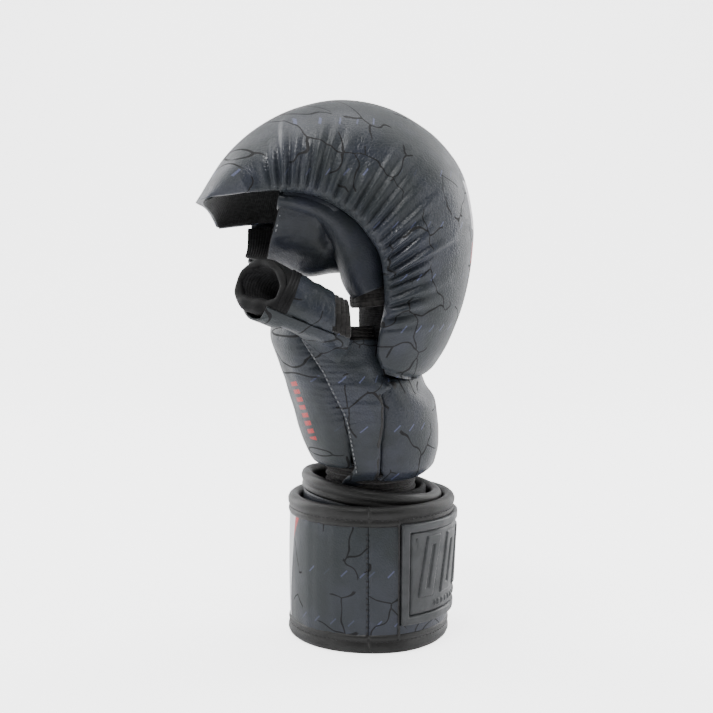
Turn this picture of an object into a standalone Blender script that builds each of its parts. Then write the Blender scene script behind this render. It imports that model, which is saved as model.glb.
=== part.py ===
"""Padded sparring glove for mixed martial arts, right hand, standing on its wrist strap.

Metres, +Z up. While it is built, the glove's own frame has its origin on the floor at the
centre of the cuff: +X is the back of the hand, -X the palm, -Y the thumb side. At the end the
whole glove is moved so that its bounding box is centred over the world origin.
"""

import math

import bmesh
import bpy
from mathutils import Matrix, Vector

# ---------------------------------------------------------------- driving dimensions

GAP = 0.0003                 # clearance between pieces that touch
BED_GAP = 0.0009             # clearance between the lining tube and what lies on its curve
LEATHER = 0.0012             # thickness of the leather skins
TEXTILE = 0.0010             # thickness of the inner linings
ROUND_SIDES = 8              # sides of a round piping or thread

# Cuff: two turns of strap round a sleeve, all of them ellipses round the wrist.
STRAP_HEIGHT = 0.0680        # from the floor to the middle of the outer turn's top piping
STRAP_THICKNESS = 0.0036
OUTER_RX = 0.0393            # middle of the outer turn, across the palm and back
OUTER_RY = 0.0416            # middle of the outer turn, across the thumb and little finger
INNER_RX = 0.0328
INNER_RY = 0.0351
OUTER_PIPING = 0.0032        # radius
INNER_PIPING = 0.0029
INNER_BOTTOM = 0.0010        # the inner turn hangs this far above the floor
INNER_TOP = 0.0750           # middle of the inner turn's top piping
INNER_TILT = 0.0050          # how much higher it is at the palm, and lower at the back
SLEEVE_THICKNESS = 0.0030
SLEEVE_RX = 0.0275           # outside of the wrist sleeve
SLEEVE_RY = 0.0312
SLEEVE_BOTTOM = 0.0040
SLEEVE_TOP = 0.0745
HOOK_THICKNESS = 0.0009
HOOK_LOW = 0.0085
HOOK_TOP_MARGIN = 0.0080     # how far the tape stops below the top piping
HOOK_HIGH = STRAP_HEIGHT - HOOK_TOP_MARGIN
STITCH_ANGLE = -93.0         # where the loose strap end is sewn on, degrees round the cuff
STRAP_END_ANGLE = 68.0       # where the loose strap end stops
HINGE_GAP_ANGLE = 1.6        # half of the slit at the stitch line, degrees
END_GAP_ANGLE = 5.0          # slit past the loose end, degrees
PATCH_FROM = -71.0
PATCH_TO = 52.0
PATCH_LOW = 0.0140
PATCH_TOP_MARGIN = 0.0055    # how far the patch stops below the top piping
PATCH_HIGH = STRAP_HEIGHT - PATCH_TOP_MARGIN
PATCH_THICKNESS = 0.0022
PATCH_RIM = 0.0012           # height of the moulded rim above the patch

# Hand: a lining tube with a pad on the back, a pad on the palm and a panel on each side.
# Each row: height, lining centre x, lining half depth x, lining half width y.
LINING_ROWS = (
    (0.0710, -0.0010, 0.0205, 0.0262),
    (0.0850, -0.0010, 0.0200, 0.0305),
    (0.1100, -0.0040, 0.0165, 0.0370),
    (0.1300, -0.0100, 0.0130, 0.0405),
    (0.1500, -0.0140, 0.0135, 0.0412),
)
PALM_FACE = ((0.0895, -0.0325), (0.0970, -0.0350), (0.1140, -0.0395), (0.1335, -0.0460),
             (0.1500, -0.0520), (0.1570, -0.0530))
BACK_FACE = ((0.0800, 0.0262), (0.0860, 0.0315), (0.0950, 0.0337), (0.1050, 0.0336),
             (0.1190, 0.0317), (0.1255, 0.0262))
SIDE_PANEL = 0.0044          # thickness of the hand at its two sides, lining to outside
DORSAL_LOW = 0.0800
DORSAL_HIGH = 0.1258
PALM_PAD_LOW = 0.0895
PALM_PAD_HIGH = 0.1570
SIDE_LOW = 0.0830
SIDE_HIGH = 0.1480
SIDE_BACK_X = 0.0015         # the side panels' furthest reach back above the knuckle fold
DORSAL_ANGLE = 78.5          # half of the arc that the back pad covers, degrees
SEAM_SLIT = 3.0              # slit for a seam between two panels, degrees
PALM_SEAM = ((0.0800, 99.0), (0.1160, 100.0), (0.1350, 106.0), (0.1570, 121.0))
PIPING = 0.0007
WEB_HEIGHT = 0.0048          # elastic round the palm opening
WEB_THICKNESS = 0.0018
HAND_ROUNDNESS = 0.85        # power of the hand's section: 1 is an ellipse, less is squarer
SEAM_TOP_MARGIN = 0.0020     # how far a seam stops short of the back pad's upper edge
SEAM_END_MARGIN = 0.0010     # how far the palm seam's thread stops short of its panel's ends

# Mitt: one padded hood from the knuckle fold, over the fingers, to the visor.
MITT_CROWN = (
    (0.0262, 0.1285), (0.0385, 0.1490), (0.0472, 0.1760), (0.0492, 0.2080), (0.0405, 0.2360),
    (0.0165, 0.2572), (-0.0130, 0.2650), (-0.0430, 0.2590), (-0.0680, 0.2420), (-0.0860, 0.2150),
)
MITT_RIM = (
    (0.0052, 0.1368), (0.0032, 0.1450), (0.0048, 0.1583), (0.0064, 0.1694), (0.0045, 0.1889),
    (-0.0011, 0.1995), (-0.0099, 0.2093), (-0.0237, 0.2176), (-0.0372, 0.2204), (-0.0570, 0.2195),
    (-0.0753, 0.2171),
)
MITT_HALF_WIDTH = ((0.0, 0.0455), (0.12, 0.0515), (0.35, 0.0550), (0.7, 0.0550), (0.88, 0.0510),
                   (1.0, 0.0420))
FAR_DROP = 0.0140            # how far the little-finger side of the visor hangs lower
FAR_DROP_FROM = 0.45         # share of the rim where that drop starts
FAR_DROP_OVER = 0.35         # share of the rim over which it grows
FAR_REACH = 0.0050           # how much further forward that side's corner reaches
FAR_REACH_FROM = 0.80        # share of the rim where that reach starts
MITT_SIDE_ROUNDNESS = 0.9    # powers of the hood's arches, across and up
MITT_RISE_ROUNDNESS = 0.85
CROWN_FOAM = 0.0200
SIDE_FOAM = 0.0075
MITT_STEPS = 18
MITT_ARCS = 12

# Finger cover: the smooth bag under the hood that the fingertips curl into.
COVER_OPEN_SHARE = 0.785     # how far along the rim its open edge is
COVER_FOLD_SHARE = 0.565     # how far along the rim its fold beside the sleeves is
COVER_CLEARANCE = 0.0014     # below the rim
COVER_BOTTOM = ((-0.0530, 0.1858), (-0.0200, 0.1808))
COVER_HALF_TOP = 0.0490
COVER_HALF_BOTTOM = 0.0440
COVER_ROUNDNESS = 0.55       # power of the cover's section, a flat-bottomed trough
COVER_LINING_END = 0.95      # share of the cover where its lining stops
COVER_STITCHES = (0.035, 0.20)           # shares of the cover where its stitch rows run
COVER_STITCH_ANGLE = 84      # degrees each way that a stitch row goes up the sides
COVER_STITCH_RADIUS = 0.0005
COVER_STITCH_OUT = 0.0009    # middle of a stitch row, off the cover's surface
FLAP_REACH = 0.0080          # how far the cover's lining shows past its open edge

# Finger sleeves: one short tube for each finger, with an elastic hem.
FINGERS = ("index", "middle", "ring", "little")
FINGER_PITCH = 0.0220
FINGER_PATH = ((-0.0020, 0.1715), (-0.0040, 0.1800), (-0.0052, 0.1880), (-0.0078, 0.1970),
               (-0.0098, 0.2020))
FINGER_HALF_DEPTH = (0.0078, 0.0092, 0.0097, 0.0080, 0.0056)
FINGER_HALF_WIDTH = 0.0106
HEM_HEIGHT = 0.0050
HEM_LEAN = 0.0006            # how far a hem leans towards the back of the hand

# Thumb: an open-ended tube on the thumb side of the palm opening.
THUMB_BASE = (-0.0155, -0.0550, 0.1590)
THUMB_TIP = (-0.0530, -0.0595, 0.1765)
THUMB_BASE_RADIUS = 0.0100
THUMB_TIP_RADIUS = 0.0125
THUMB_FOAM = 0.0016
THUMB_LINING = 0.0008
THUMB_SLIT = 3.5             # degrees between the thumb's two panels
THUMB_UPPER = (20.0, 150.0)  # arcs of the two panels; 90 degrees is the thumb's top
THUMB_LOWER = (150.0, 380.0)
THUMB_EDGE = 0.0030          # width of the bound tip and of the elastic hem

# Joint axes in the glove's own frame.
WRIST_AXIS = (0.0, 0.0, 0.0800)
KNUCKLE_AXIS = (0.0100, 0.0, 0.1300)
THUMB_AXIS = (-0.0090, -0.0450, 0.1580)
STRAP_AXIS_OUT = 0.0033      # the peel line lies on the strap's outer face
KNUCKLE_ROLL = 0.0024        # radius of the leather roll in the knuckle fold

# Colours: linear red, green, blue, then roughness.
PRINTED_LEATHER = (0.034, 0.042, 0.052, 0.42)
PLAIN_LEATHER = (0.028, 0.034, 0.038, 0.45)
BLACK_BINDING = (0.022, 0.022, 0.021, 0.50)
LINING_CLOTH = (0.015, 0.015, 0.016, 0.90)
FOAM_GREY = (0.180, 0.180, 0.190, 0.95)
ELASTIC_BROWN = (0.020, 0.017, 0.014, 0.75)
RUBBER_GREY = (0.060, 0.066, 0.072, 0.45)
THREAD_BLACK = (0.012, 0.012, 0.012, 0.70)


# ---------------------------------------------------------------- small helpers

def clear_scene():
    """Empties the scene object by object."""
    for old in list(bpy.data.objects):
        bpy.data.objects.remove(old)


def material(name, look):
    """One plain Principled material; look is red, green, blue and roughness."""
    made = bpy.data.materials.new(name)
    made.use_nodes = True
    shader = made.node_tree.nodes["Principled BSDF"]
    shader.inputs["Base Color"].default_value = (look[0], look[1], look[2], 1.0)
    shader.inputs["Roughness"].default_value = look[3]
    shader.inputs["Metallic"].default_value = 0.0
    return made


def between(rows, value, column=1):
    """Straight-line reading of a table whose rows start with the value that is looked up."""
    if value <= rows[0][0]:
        return rows[0][column]
    for low, high in zip(rows, rows[1:]):
        if value <= high[0]:
            share = (value - low[0]) / (high[0] - low[0])
            return low[column] + (high[column] - low[column]) * share
    return rows[-1][column]


def smooth_curve(points, count):
    """Points evenly spaced along a smooth curve through the given points."""
    known = [Vector(p) for p in points]
    known = [2 * known[0] - known[1]] + known + [2 * known[-1] - known[-2]]
    fine = []
    for a, b, c, d in zip(known, known[1:], known[2:], known[3:]):
        for step in range(12):
            u = step / 12
            fine.append(0.5 * (2 * b + (c - a) * u + (2 * a - 5 * b + 4 * c - d) * u ** 2
                               + (3 * b - a - 3 * c + d) * u ** 3))
    fine.append(known[-2])
    lengths = [0.0]
    for a, b in zip(fine, fine[1:]):
        lengths.append(lengths[-1] + (b - a).length)
    even = []
    index = 0
    for step in range(count):
        target = lengths[-1] * step / (count - 1)
        while index < len(fine) - 2 and lengths[index + 1] < target:
            index += 1
        span = lengths[index + 1] - lengths[index]
        even.append(fine[index].lerp(fine[index + 1], (target - lengths[index]) / span))
    return even


def signed_power(value, power):
    return math.copysign(abs(value) ** power, value)


def spread(low, high, count):
    """Evenly spaced numbers from low to high."""
    return [low + (high - low) * i / (count - 1) for i in range(count)]


# ---------------------------------------------------------------- bodies and solids

BODY_AXES = {}
BODY_EMPTIES = {}


def add_body(name, axis, parent=None):
    """An empty on a body's joint axis, for its pieces to hang on."""
    empty = bpy.data.objects.new(name + "_axis", None)
    bpy.context.scene.collection.objects.link(empty)
    BODY_AXES[name] = Vector(axis)
    BODY_EMPTIES[name] = empty
    empty.location = BODY_AXES[name]
    if parent:
        empty.parent = BODY_EMPTIES[parent]
        empty.location = BODY_AXES[name] - BODY_AXES[parent]


def finish_solid(name, mesh_data, body, look, smooth=True):
    """Turns a bmesh in the glove's frame into a named object on its body."""
    bmesh.ops.recalc_face_normals(mesh_data, faces=mesh_data.faces)
    mesh = bpy.data.meshes.new(name)
    mesh_data.to_mesh(mesh)
    mesh_data.free()
    mesh.transform(Matrix.Translation(-BODY_AXES[body]))
    piece = bpy.data.objects.new(name, mesh)
    bpy.context.scene.collection.objects.link(piece)
    piece.parent = BODY_EMPTIES[body]
    mesh.materials.append(material(name + "_finish", look))
    if smooth:
        mesh.shade_smooth()
        mesh.set_sharp_from_angle(angle=math.radians(40))
    return piece


def grid_faces(mesh_data, grid, closed_across):
    rows = len(grid)
    across = len(grid[0])
    last = across if closed_across else across - 1
    for i in range(rows - 1):
        for j in range(last):
            k = (j + 1) % across
            mesh_data.faces.new((grid[i][j], grid[i][k], grid[i + 1][k], grid[i + 1][j]))


def shell(name, body, look, outer, inner, closed_across=False):
    """A closed solid between two grids of points of the same shape, joined along their edges."""
    mesh_data = bmesh.new()
    out = [[mesh_data.verts.new(p) for p in row] for row in outer]
    inn = [[mesh_data.verts.new(p) for p in row] for row in inner]
    grid_faces(mesh_data, out, closed_across)
    grid_faces(mesh_data, inn, closed_across)
    for first, second in ((out[0], inn[0]), (out[-1], inn[-1])):
        grid_faces(mesh_data, [first, second], closed_across)
    if not closed_across:
        for j in (0, -1):
            grid_faces(mesh_data, [[row[j] for row in out], [row[j] for row in inn]], False)
    return finish_solid(name, mesh_data, body, look)


def tube(name, body, look, path, radius, closed=False, up=(0, 0, 1), sides=ROUND_SIDES):
    """A round bar along a path; one flat of its many-sided section faces down."""
    mesh_data = bmesh.new()
    count = len(path)
    rings = []
    for i, point in enumerate(path):
        before = path[i - 1] if closed or i else path[0]
        after = path[(i + 1) % count] if closed or i < count - 1 else path[-1]
        along = (after - before).normalized()
        side = along.cross(Vector(up)).normalized()
        top = side.cross(along).normalized()
        ring = []
        for k in range(sides):
            turn = 2 * math.pi * (k + 0.5) / sides
            reach = radius / math.cos(math.pi / sides)
            ring.append(mesh_data.verts.new(point + side * math.sin(turn) * reach
                                            - top * math.cos(turn) * reach))
        rings.append(ring)
    if closed:
        rings.append(rings[0])
    grid_faces(mesh_data, rings, True)
    if not closed:
        mesh_data.faces.new(rings[0])
        mesh_data.faces.new(rings[-1])
    return finish_solid(name, mesh_data, body, look)


# ---------------------------------------------------------------- cuff

def on_cuff(angle, rx, ry, z):
    turn = math.radians(angle)
    return Vector((rx * math.cos(turn), ry * math.sin(turn), z))


def cuff_arc(rx, ry, low, high, angles, tilt=0.0):
    """Rows of points up a strap at each angle; a tilt lifts the palm side's top."""
    rows = []
    for angle in angles:
        top = high - tilt * math.cos(math.radians(angle))
        rows.append([on_cuff(angle, rx, ry, z) for z in (low, top)])
    return rows


def cuff_strap(name, body, look, rx, ry, thickness, low, high, angles, tilt=0.0):
    """A curved strap standing on edge; a full turn repeats its first angle at the end."""
    half = thickness / 2
    outer = cuff_arc(rx + half, ry + half, low, high, angles, tilt)
    inner = cuff_arc(rx - half, ry - half, low, high, angles, tilt)
    full = abs(angles[-1] - angles[0]) >= 359.9
    if full:
        outer, inner = outer[:-1], inner[:-1]
    mesh_data = bmesh.new()
    loops = []
    for out, inn in zip(outer, inner):
        loops.append([mesh_data.verts.new(p) for p in (out[0], out[1], inn[1], inn[0])])
    if full:
        loops.append(loops[0])
    grid_faces(mesh_data, loops, True)
    if not full:
        mesh_data.faces.new(loops[0])
        mesh_data.faces.new(loops[-1])
    return finish_solid(name, mesh_data, body, look)


def cuff_piping(name, body, look, rx, ry, radius, height, angles, tilt=0.0):
    full = abs(angles[-1] - angles[0]) >= 359.9
    used = angles[:-1] if full else angles
    path = [on_cuff(a, rx, ry, height - tilt * math.cos(math.radians(a))) for a in used]
    return tube(name, body, look, path, radius, closed=full)


def make_cuff():
    """The wrist sleeve, the strap's inner turn, and the fixed part of its outer turn."""
    round_angles = spread(0.0, 360.0, 29)
    outer_angles = spread(STRAP_END_ANGLE + END_GAP_ANGLE,
                          360.0 + STITCH_ANGLE - HINGE_GAP_ANGLE, 17)
    half_sleeve = SLEEVE_THICKNESS / 2
    cuff_strap("wrist_sleeve", "cuff", LINING_CLOTH, SLEEVE_RX - half_sleeve,
               SLEEVE_RY - half_sleeve, SLEEVE_THICKNESS, SLEEVE_BOTTOM, SLEEVE_TOP,
               round_angles)

    inner_low = INNER_PIPING * 2 + INNER_BOTTOM
    cuff_strap("strap_inner_turn", "cuff", PRINTED_LEATHER, INNER_RX, INNER_RY,
               STRAP_THICKNESS, inner_low + GAP, INNER_TOP - INNER_PIPING - GAP,
               round_angles, INNER_TILT)
    cuff_piping("inner_turn_top_piping", "cuff", BLACK_BINDING, INNER_RX, INNER_RY,
                INNER_PIPING, INNER_TOP, round_angles, INNER_TILT)
    cuff_piping("inner_turn_bottom_piping", "cuff", BLACK_BINDING, INNER_RX, INNER_RY,
                INNER_PIPING, inner_low - INNER_PIPING, round_angles)

    outer_low = OUTER_PIPING * 2 + GAP
    outer_high = STRAP_HEIGHT - OUTER_PIPING - GAP
    cuff_strap("strap_outer_turn", "cuff", PRINTED_LEATHER, OUTER_RX, OUTER_RY,
               STRAP_THICKNESS, outer_low, outer_high, outer_angles)
    cuff_piping("outer_turn_top_piping", "cuff", BLACK_BINDING, OUTER_RX, OUTER_RY,
                OUTER_PIPING, STRAP_HEIGHT, outer_angles)
    cuff_piping("outer_turn_bottom_binding", "cuff", BLACK_BINDING, OUTER_RX, OUTER_RY,
                OUTER_PIPING, OUTER_PIPING, outer_angles)

    loop_rx = INNER_RX + (STRAP_THICKNESS + HOOK_THICKNESS) / 2 + GAP
    loop_ry = INNER_RY + (STRAP_THICKNESS + HOOK_THICKNESS) / 2 + GAP
    cuff_strap("loop_fastener", "cuff", THREAD_BLACK, loop_rx, loop_ry, HOOK_THICKNESS,
               HOOK_LOW, HOOK_HIGH, spread(PATCH_FROM, STRAP_END_ANGLE, 13))


def make_strap_end():
    """The loose end of the strap: it carries the hook fastener inside and the patch outside."""
    angles = spread(STITCH_ANGLE + HINGE_GAP_ANGLE, STRAP_END_ANGLE, 15)
    outer_low = OUTER_PIPING * 2 + GAP
    outer_high = STRAP_HEIGHT - OUTER_PIPING - GAP
    cuff_strap("strap_end_panel", "strap_end", PRINTED_LEATHER, OUTER_RX, OUTER_RY,
               STRAP_THICKNESS, outer_low, outer_high, angles)
    cuff_piping("strap_end_top_piping", "strap_end", BLACK_BINDING, OUTER_RX, OUTER_RY,
                OUTER_PIPING, STRAP_HEIGHT, angles)
    cuff_piping("strap_end_bottom_binding", "strap_end", BLACK_BINDING, OUTER_RX, OUTER_RY,
                OUTER_PIPING, OUTER_PIPING, angles)
    hook_rx = OUTER_RX - (STRAP_THICKNESS + HOOK_THICKNESS) / 2 - GAP
    hook_ry = OUTER_RY - (STRAP_THICKNESS + HOOK_THICKNESS) / 2 - GAP
    cuff_strap("hook_fastener", "strap_end", THREAD_BLACK, hook_rx, hook_ry, HOOK_THICKNESS,
               HOOK_LOW, HOOK_HIGH, spread(PATCH_FROM, STRAP_END_ANGLE - 3.0, 12))
    make_patch()


def make_patch():
    """A moulded rubber patch with a raised rim, bent round the strap end."""
    low_rx = OUTER_RX + STRAP_THICKNESS / 2 + GAP
    low_ry = OUTER_RY + STRAP_THICKNESS / 2 + GAP
    angles = spread(PATCH_FROM, PATCH_TO, 17)
    heights = spread(PATCH_LOW, PATCH_HIGH, 7)
    outer = []
    inner = []
    for i, angle in enumerate(angles):
        outer_row = []
        inner_row = []
        for j, z in enumerate(heights):
            at_edge = i in (0, len(angles) - 1) or j in (0, len(heights) - 1)
            lift = PATCH_THICKNESS + (PATCH_RIM if at_edge else 0.0)
            outer_row.append(on_cuff(angle, low_rx + lift, low_ry + lift, z))
            inner_row.append(on_cuff(angle, low_rx, low_ry, z))
        outer.append(outer_row)
        inner.append(inner_row)
    shell("rubber_patch", "strap_end", RUBBER_GREY, outer, inner)


# ---------------------------------------------------------------- hand

def lining_point(z, angle, grow=0.0):
    """A point on the outside of the hand's lining tube; 0 degrees is the back of the hand."""
    turn = math.radians(angle)
    centre = between(LINING_ROWS, z, 1)
    return Vector((centre + (between(LINING_ROWS, z, 2) + grow) * math.cos(turn),
                   (between(LINING_ROWS, z, 3) + grow) * math.sin(turn), z))


def outside_point(z, angle, inset=0.0):
    """A point on the hand's outer surface: back pad, palm pad and the two sides in one form."""
    turn = math.radians(angle)
    centre = between(LINING_ROWS, z, 1)
    half_width = between(LINING_ROWS, z, 3) + SIDE_PANEL - inset
    if math.cos(turn) < 0:
        reach = centre - between(PALM_FACE, z) - inset
    elif z > DORSAL_HIGH:
        reach = SIDE_BACK_X - centre - inset
    else:
        reach = between(BACK_FACE, z) - centre - inset
    return Vector((centre + reach * signed_power(math.cos(turn), HAND_ROUNDNESS),
                   half_width * signed_power(math.sin(turn), HAND_ROUNDNESS), z))


def hand_layer(heights, angle_lists, point):
    return [[point(z, angle) for angle in angles] for z, angles in zip(heights, angle_lists)]


def make_pad(side, heights, angle_lists):
    """A foam pad on the lining and the leather cover that is sewn over it."""
    cover_out = hand_layer(heights, angle_lists, outside_point)
    cover_in = hand_layer(heights, angle_lists, lambda z, a: outside_point(z, a, LEATHER))
    foam_out = hand_layer(heights, angle_lists, lambda z, a: outside_point(z, a, LEATHER + GAP))
    foam_in = hand_layer(heights, angle_lists, lambda z, a: lining_point(z, a, BED_GAP))
    shell(side + "_pad_cover", "hand", PRINTED_LEATHER, cover_out, cover_in)
    shell(side + "_pad_foam", "hand", FOAM_GREY, foam_out, foam_in)


def make_hand():
    """Lining, pads, side panels, seams and the elastic round the palm opening."""
    heights = spread(LINING_ROWS[0][0], LINING_ROWS[-1][0], 8)
    angles = spread(0.0, 360.0, 25)[:-1]
    outer = [[lining_point(z, a) for a in angles] for z in heights]
    inner = [[lining_point(z, a, -TEXTILE) for a in angles] for z in heights]
    shell("hand_lining", "hand", LINING_CLOTH, outer, inner, closed_across=True)

    dorsal_heights = spread(DORSAL_LOW, DORSAL_HIGH, 8)
    dorsal_angles = spread(-DORSAL_ANGLE, DORSAL_ANGLE, 13)
    make_pad("dorsal", dorsal_heights, [dorsal_angles] * len(dorsal_heights))

    palm_heights = spread(PALM_PAD_LOW, PALM_PAD_HIGH, 9)
    palm_angles = []
    for z in palm_heights:
        seam = between(PALM_SEAM, z) + SEAM_SLIT / 2
        palm_angles.append(spread(seam, 360.0 - seam, 13))
    make_pad("palm", palm_heights, palm_angles)

    side_heights = spread(SIDE_LOW, SIDE_HIGH, 8)
    for side, sign in (("thumb_side", -1.0), ("little_side", 1.0)):
        angle_lists = []
        for z in side_heights:
            seam = between(PALM_SEAM, z) - SEAM_SLIT / 2
            angle_lists.append([sign * a for a in spread(DORSAL_ANGLE + SEAM_SLIT, seam, 4)])
        outer = hand_layer(side_heights, angle_lists, outside_point)
        inner = hand_layer(side_heights, angle_lists, lambda z, a: lining_point(z, a, BED_GAP))
        shell(side + "_panel", "hand", PRINTED_LEATHER, outer, inner)
        make_seams(side, sign)

    web_low = LINING_ROWS[-1][0] + GAP
    web_heights = (web_low, web_low + WEB_HEIGHT)
    web_inset = TEXTILE / 2 + WEB_THICKNESS
    outer = [[lining_point(z, a, -TEXTILE / 2) for a in angles] for z in web_heights]
    inner = [[lining_point(z, a, -web_inset) for a in angles] for z in web_heights]
    shell("palm_opening_elastic", "hand", ELASTIC_BROWN, outer, inner, closed_across=True)

    roll_end = between(LINING_ROWS, KNUCKLE_AXIS[2], 3)
    roll = [Vector((KNUCKLE_AXIS[0], y, KNUCKLE_AXIS[2])) for y in spread(-roll_end, roll_end, 5)]
    tube("knuckle_fold_roll", "hand", BLACK_BINDING, roll, KNUCKLE_ROLL)


def make_seams(side, sign):
    """The black piping beside the back pad, and the thread of the seam beside the palm pad."""
    slit = DORSAL_ANGLE + SEAM_SLIT / 2
    piping = []
    for z in spread(SIDE_LOW + SEAM_END_MARGIN, DORSAL_HIGH - SEAM_TOP_MARGIN, 9):
        piping.append(outside_point(z, sign * slit, PIPING))
    tube(side + "_seam_piping", "hand", BLACK_BINDING, piping, PIPING, up=(1, 0, 0), sides=6)
    thread = []
    for z in spread(PALM_PAD_LOW + SEAM_END_MARGIN, SIDE_HIGH - SEAM_END_MARGIN, 13):
        thread.append(outside_point(z, sign * between(PALM_SEAM, z), PIPING))
    tube(side + "_seam_thread", "hand", THREAD_BLACK, thread, PIPING, up=(1, 0, 0), sides=6)


# ---------------------------------------------------------------- mitt

CROWN_CURVE = smooth_curve(MITT_CROWN, MITT_STEPS + 1)
RIM_CURVE = smooth_curve(MITT_RIM, MITT_STEPS + 1)


def rim_point(share, turn):
    """The hood's rim in the side view; its little-finger side hangs lower near the visor."""
    index = min(int(share * MITT_STEPS), MITT_STEPS - 1)
    rim = RIM_CURVE[index].lerp(RIM_CURVE[index + 1], share * MITT_STEPS - index)
    far_side = (math.sin(turn) + 1) / 2
    late = min(1.0, max(0.0, (share - FAR_DROP_FROM) / FAR_DROP_OVER))
    last = max(0.0, (share - FAR_REACH_FROM) / (1.0 - FAR_REACH_FROM))
    rim.y -= FAR_DROP * late * late * (3 - 2 * late) * far_side
    rim.x -= FAR_REACH * last * far_side
    return rim


def mitt_point(step, angle, side_inset, crown_inset):
    """A point of the hood. Angle -90 is the thumb-side rim, 0 the crown, 90 the other rim."""
    share = step / MITT_STEPS
    turn = math.radians(angle)
    crown = CROWN_CURVE[step]
    rim = rim_point(share, turn)
    rise = crown - rim
    height = 1.0 - crown_inset / rise.length
    half_width = between(MITT_HALF_WIDTH, share) - side_inset
    across = half_width * signed_power(math.sin(turn), MITT_SIDE_ROUNDNESS)
    flat = rim + rise * height * abs(math.cos(turn)) ** MITT_RISE_ROUNDNESS
    return Vector((flat.x, across, flat.y))


def mitt_layer(side_inset, crown_inset):
    return [[mitt_point(i, a, side_inset, crown_inset) for a in spread(-90, 90, MITT_ARCS + 1)]
            for i in range(MITT_STEPS + 1)]


def make_mitt():
    """Leather hood, its foam and its lining, nested with a small gap."""
    foam_start = LEATHER + GAP
    foam_side = foam_start + SIDE_FOAM
    foam_crown = foam_start + CROWN_FOAM
    shell("mitt_cover", "mitt", PRINTED_LEATHER, mitt_layer(0.0, 0.0),
          mitt_layer(LEATHER, LEATHER))
    shell("mitt_foam", "mitt", FOAM_GREY, mitt_layer(foam_start, foam_start),
          mitt_layer(foam_side, foam_crown))
    shell("mitt_lining", "mitt", LINING_CLOTH, mitt_layer(foam_side + GAP, foam_crown + GAP),
          mitt_layer(foam_side + GAP + TEXTILE, foam_crown + GAP + TEXTILE))


def cover_point(along, angle, inset):
    """A point of the finger cover, a trough that hangs below the hood's rim."""
    turn = math.radians(angle)
    share = COVER_OPEN_SHARE + (COVER_FOLD_SHARE - COVER_OPEN_SHARE) * along
    top = rim_point(share, turn) - Vector((0.0, COVER_CLEARANCE))
    bottom = Vector(COVER_BOTTOM[0]).lerp(Vector(COVER_BOTTOM[1]), along)
    drop = (bottom - top) * (1.0 - inset / (bottom - top).length)
    depth = abs(math.cos(turn)) ** COVER_ROUNDNESS
    flat = top + drop * depth
    half = COVER_HALF_TOP + (COVER_HALF_BOTTOM - COVER_HALF_TOP) * depth
    across = (half - inset) * signed_power(math.sin(turn), COVER_ROUNDNESS)
    return Vector((flat.x, across, flat.y))


def cover_layer(low, high, inset):
    return [[cover_point(s, a, inset) for a in spread(-90, 90, 17)] for s in spread(low, high, 6)]


def make_finger_cover():
    """The smooth cover round the fingertips, its lining and its two stitched edge rows."""
    shell("finger_cover", "mitt", PLAIN_LEATHER, cover_layer(0.0, 1.0, 0.0),
          cover_layer(0.0, 1.0, LEATHER))
    flap = FLAP_REACH / (Vector(COVER_BOTTOM[1]) - Vector(COVER_BOTTOM[0])).length
    shell("finger_cover_lining", "mitt", LINING_CLOTH,
          cover_layer(-flap, COVER_LINING_END, LEATHER + GAP),
          cover_layer(-flap, COVER_LINING_END, LEATHER + GAP + TEXTILE))
    angles = spread(-COVER_STITCH_ANGLE, COVER_STITCH_ANGLE, 17)
    for number, along in enumerate(COVER_STITCHES, start=1):
        path = [cover_point(along, a, -COVER_STITCH_OUT) for a in angles]
        tube("finger_cover_stitch_row_%d" % number, "mitt", THREAD_BLACK, path,
             COVER_STITCH_RADIUS, up=(1, 0, 0), sides=6)


def make_finger_sleeves():
    """Four short tubes that the fingers pass through, each with an elastic hem below."""
    centres = smooth_curve(FINGER_PATH, 7)
    depths = [between([(i / 4, d) for i, d in enumerate(FINGER_HALF_DEPTH)], s)
              for s in spread(0, 1, 7)]
    for number, finger in enumerate(FINGERS):
        y = (number - (len(FINGERS) - 1) / 2) * FINGER_PITCH
        outer = []
        inner = []
        for centre, depth in zip(centres, depths):
            for rows, inset in ((outer, 0.0), (inner, LEATHER)):
                ring = []
                for angle in spread(0, 360, 15)[:-1]:
                    turn = math.radians(angle)
                    ring.append(Vector((centre.x + (depth - inset) * math.cos(turn),
                                        y + (FINGER_HALF_WIDTH - inset) * math.sin(turn),
                                        centre.y)))
                rows.append(ring)
        shell(finger + "_finger_sleeve", "mitt", PLAIN_LEATHER, outer, inner, closed_across=True)
        make_finger_hem(finger, outer[0], inner[0])


def make_finger_hem(finger, outer_ring, inner_ring):
    outer = []
    inner = []
    for share in (0.0, 0.5, 1.0):
        down = Vector((HEM_LEAN * share, 0.0, -GAP - HEM_HEIGHT * share))
        outer.append([p + down for p in outer_ring])
        inner.append([p + down for p in inner_ring])
    shell(finger + "_hem_elastic", "mitt", ELASTIC_BROWN, outer, inner, closed_across=True)


# ---------------------------------------------------------------- thumb

def thumb_ring(share, inset, angles):
    """Points round the thumb tube; share 0 is its base and 1 its open tip."""
    base = Vector(THUMB_BASE)
    tip = Vector(THUMB_TIP)
    along = (tip - base).normalized()
    side = along.cross(Vector((0, 0, 1))).normalized()
    top = side.cross(along)
    centre = base.lerp(tip, share)
    radius = THUMB_BASE_RADIUS + (THUMB_TIP_RADIUS - THUMB_BASE_RADIUS) * share - inset
    ring = []
    for angle in angles:
        turn = math.radians(angle)
        ring.append(centre + side * radius * math.cos(turn) + top * radius * math.sin(turn))
    return ring


def thumb_layer(inset, angles, low=0.0, high=1.0):
    return [thumb_ring(s, inset, angles) for s in spread(low, high, 4)]


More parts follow.
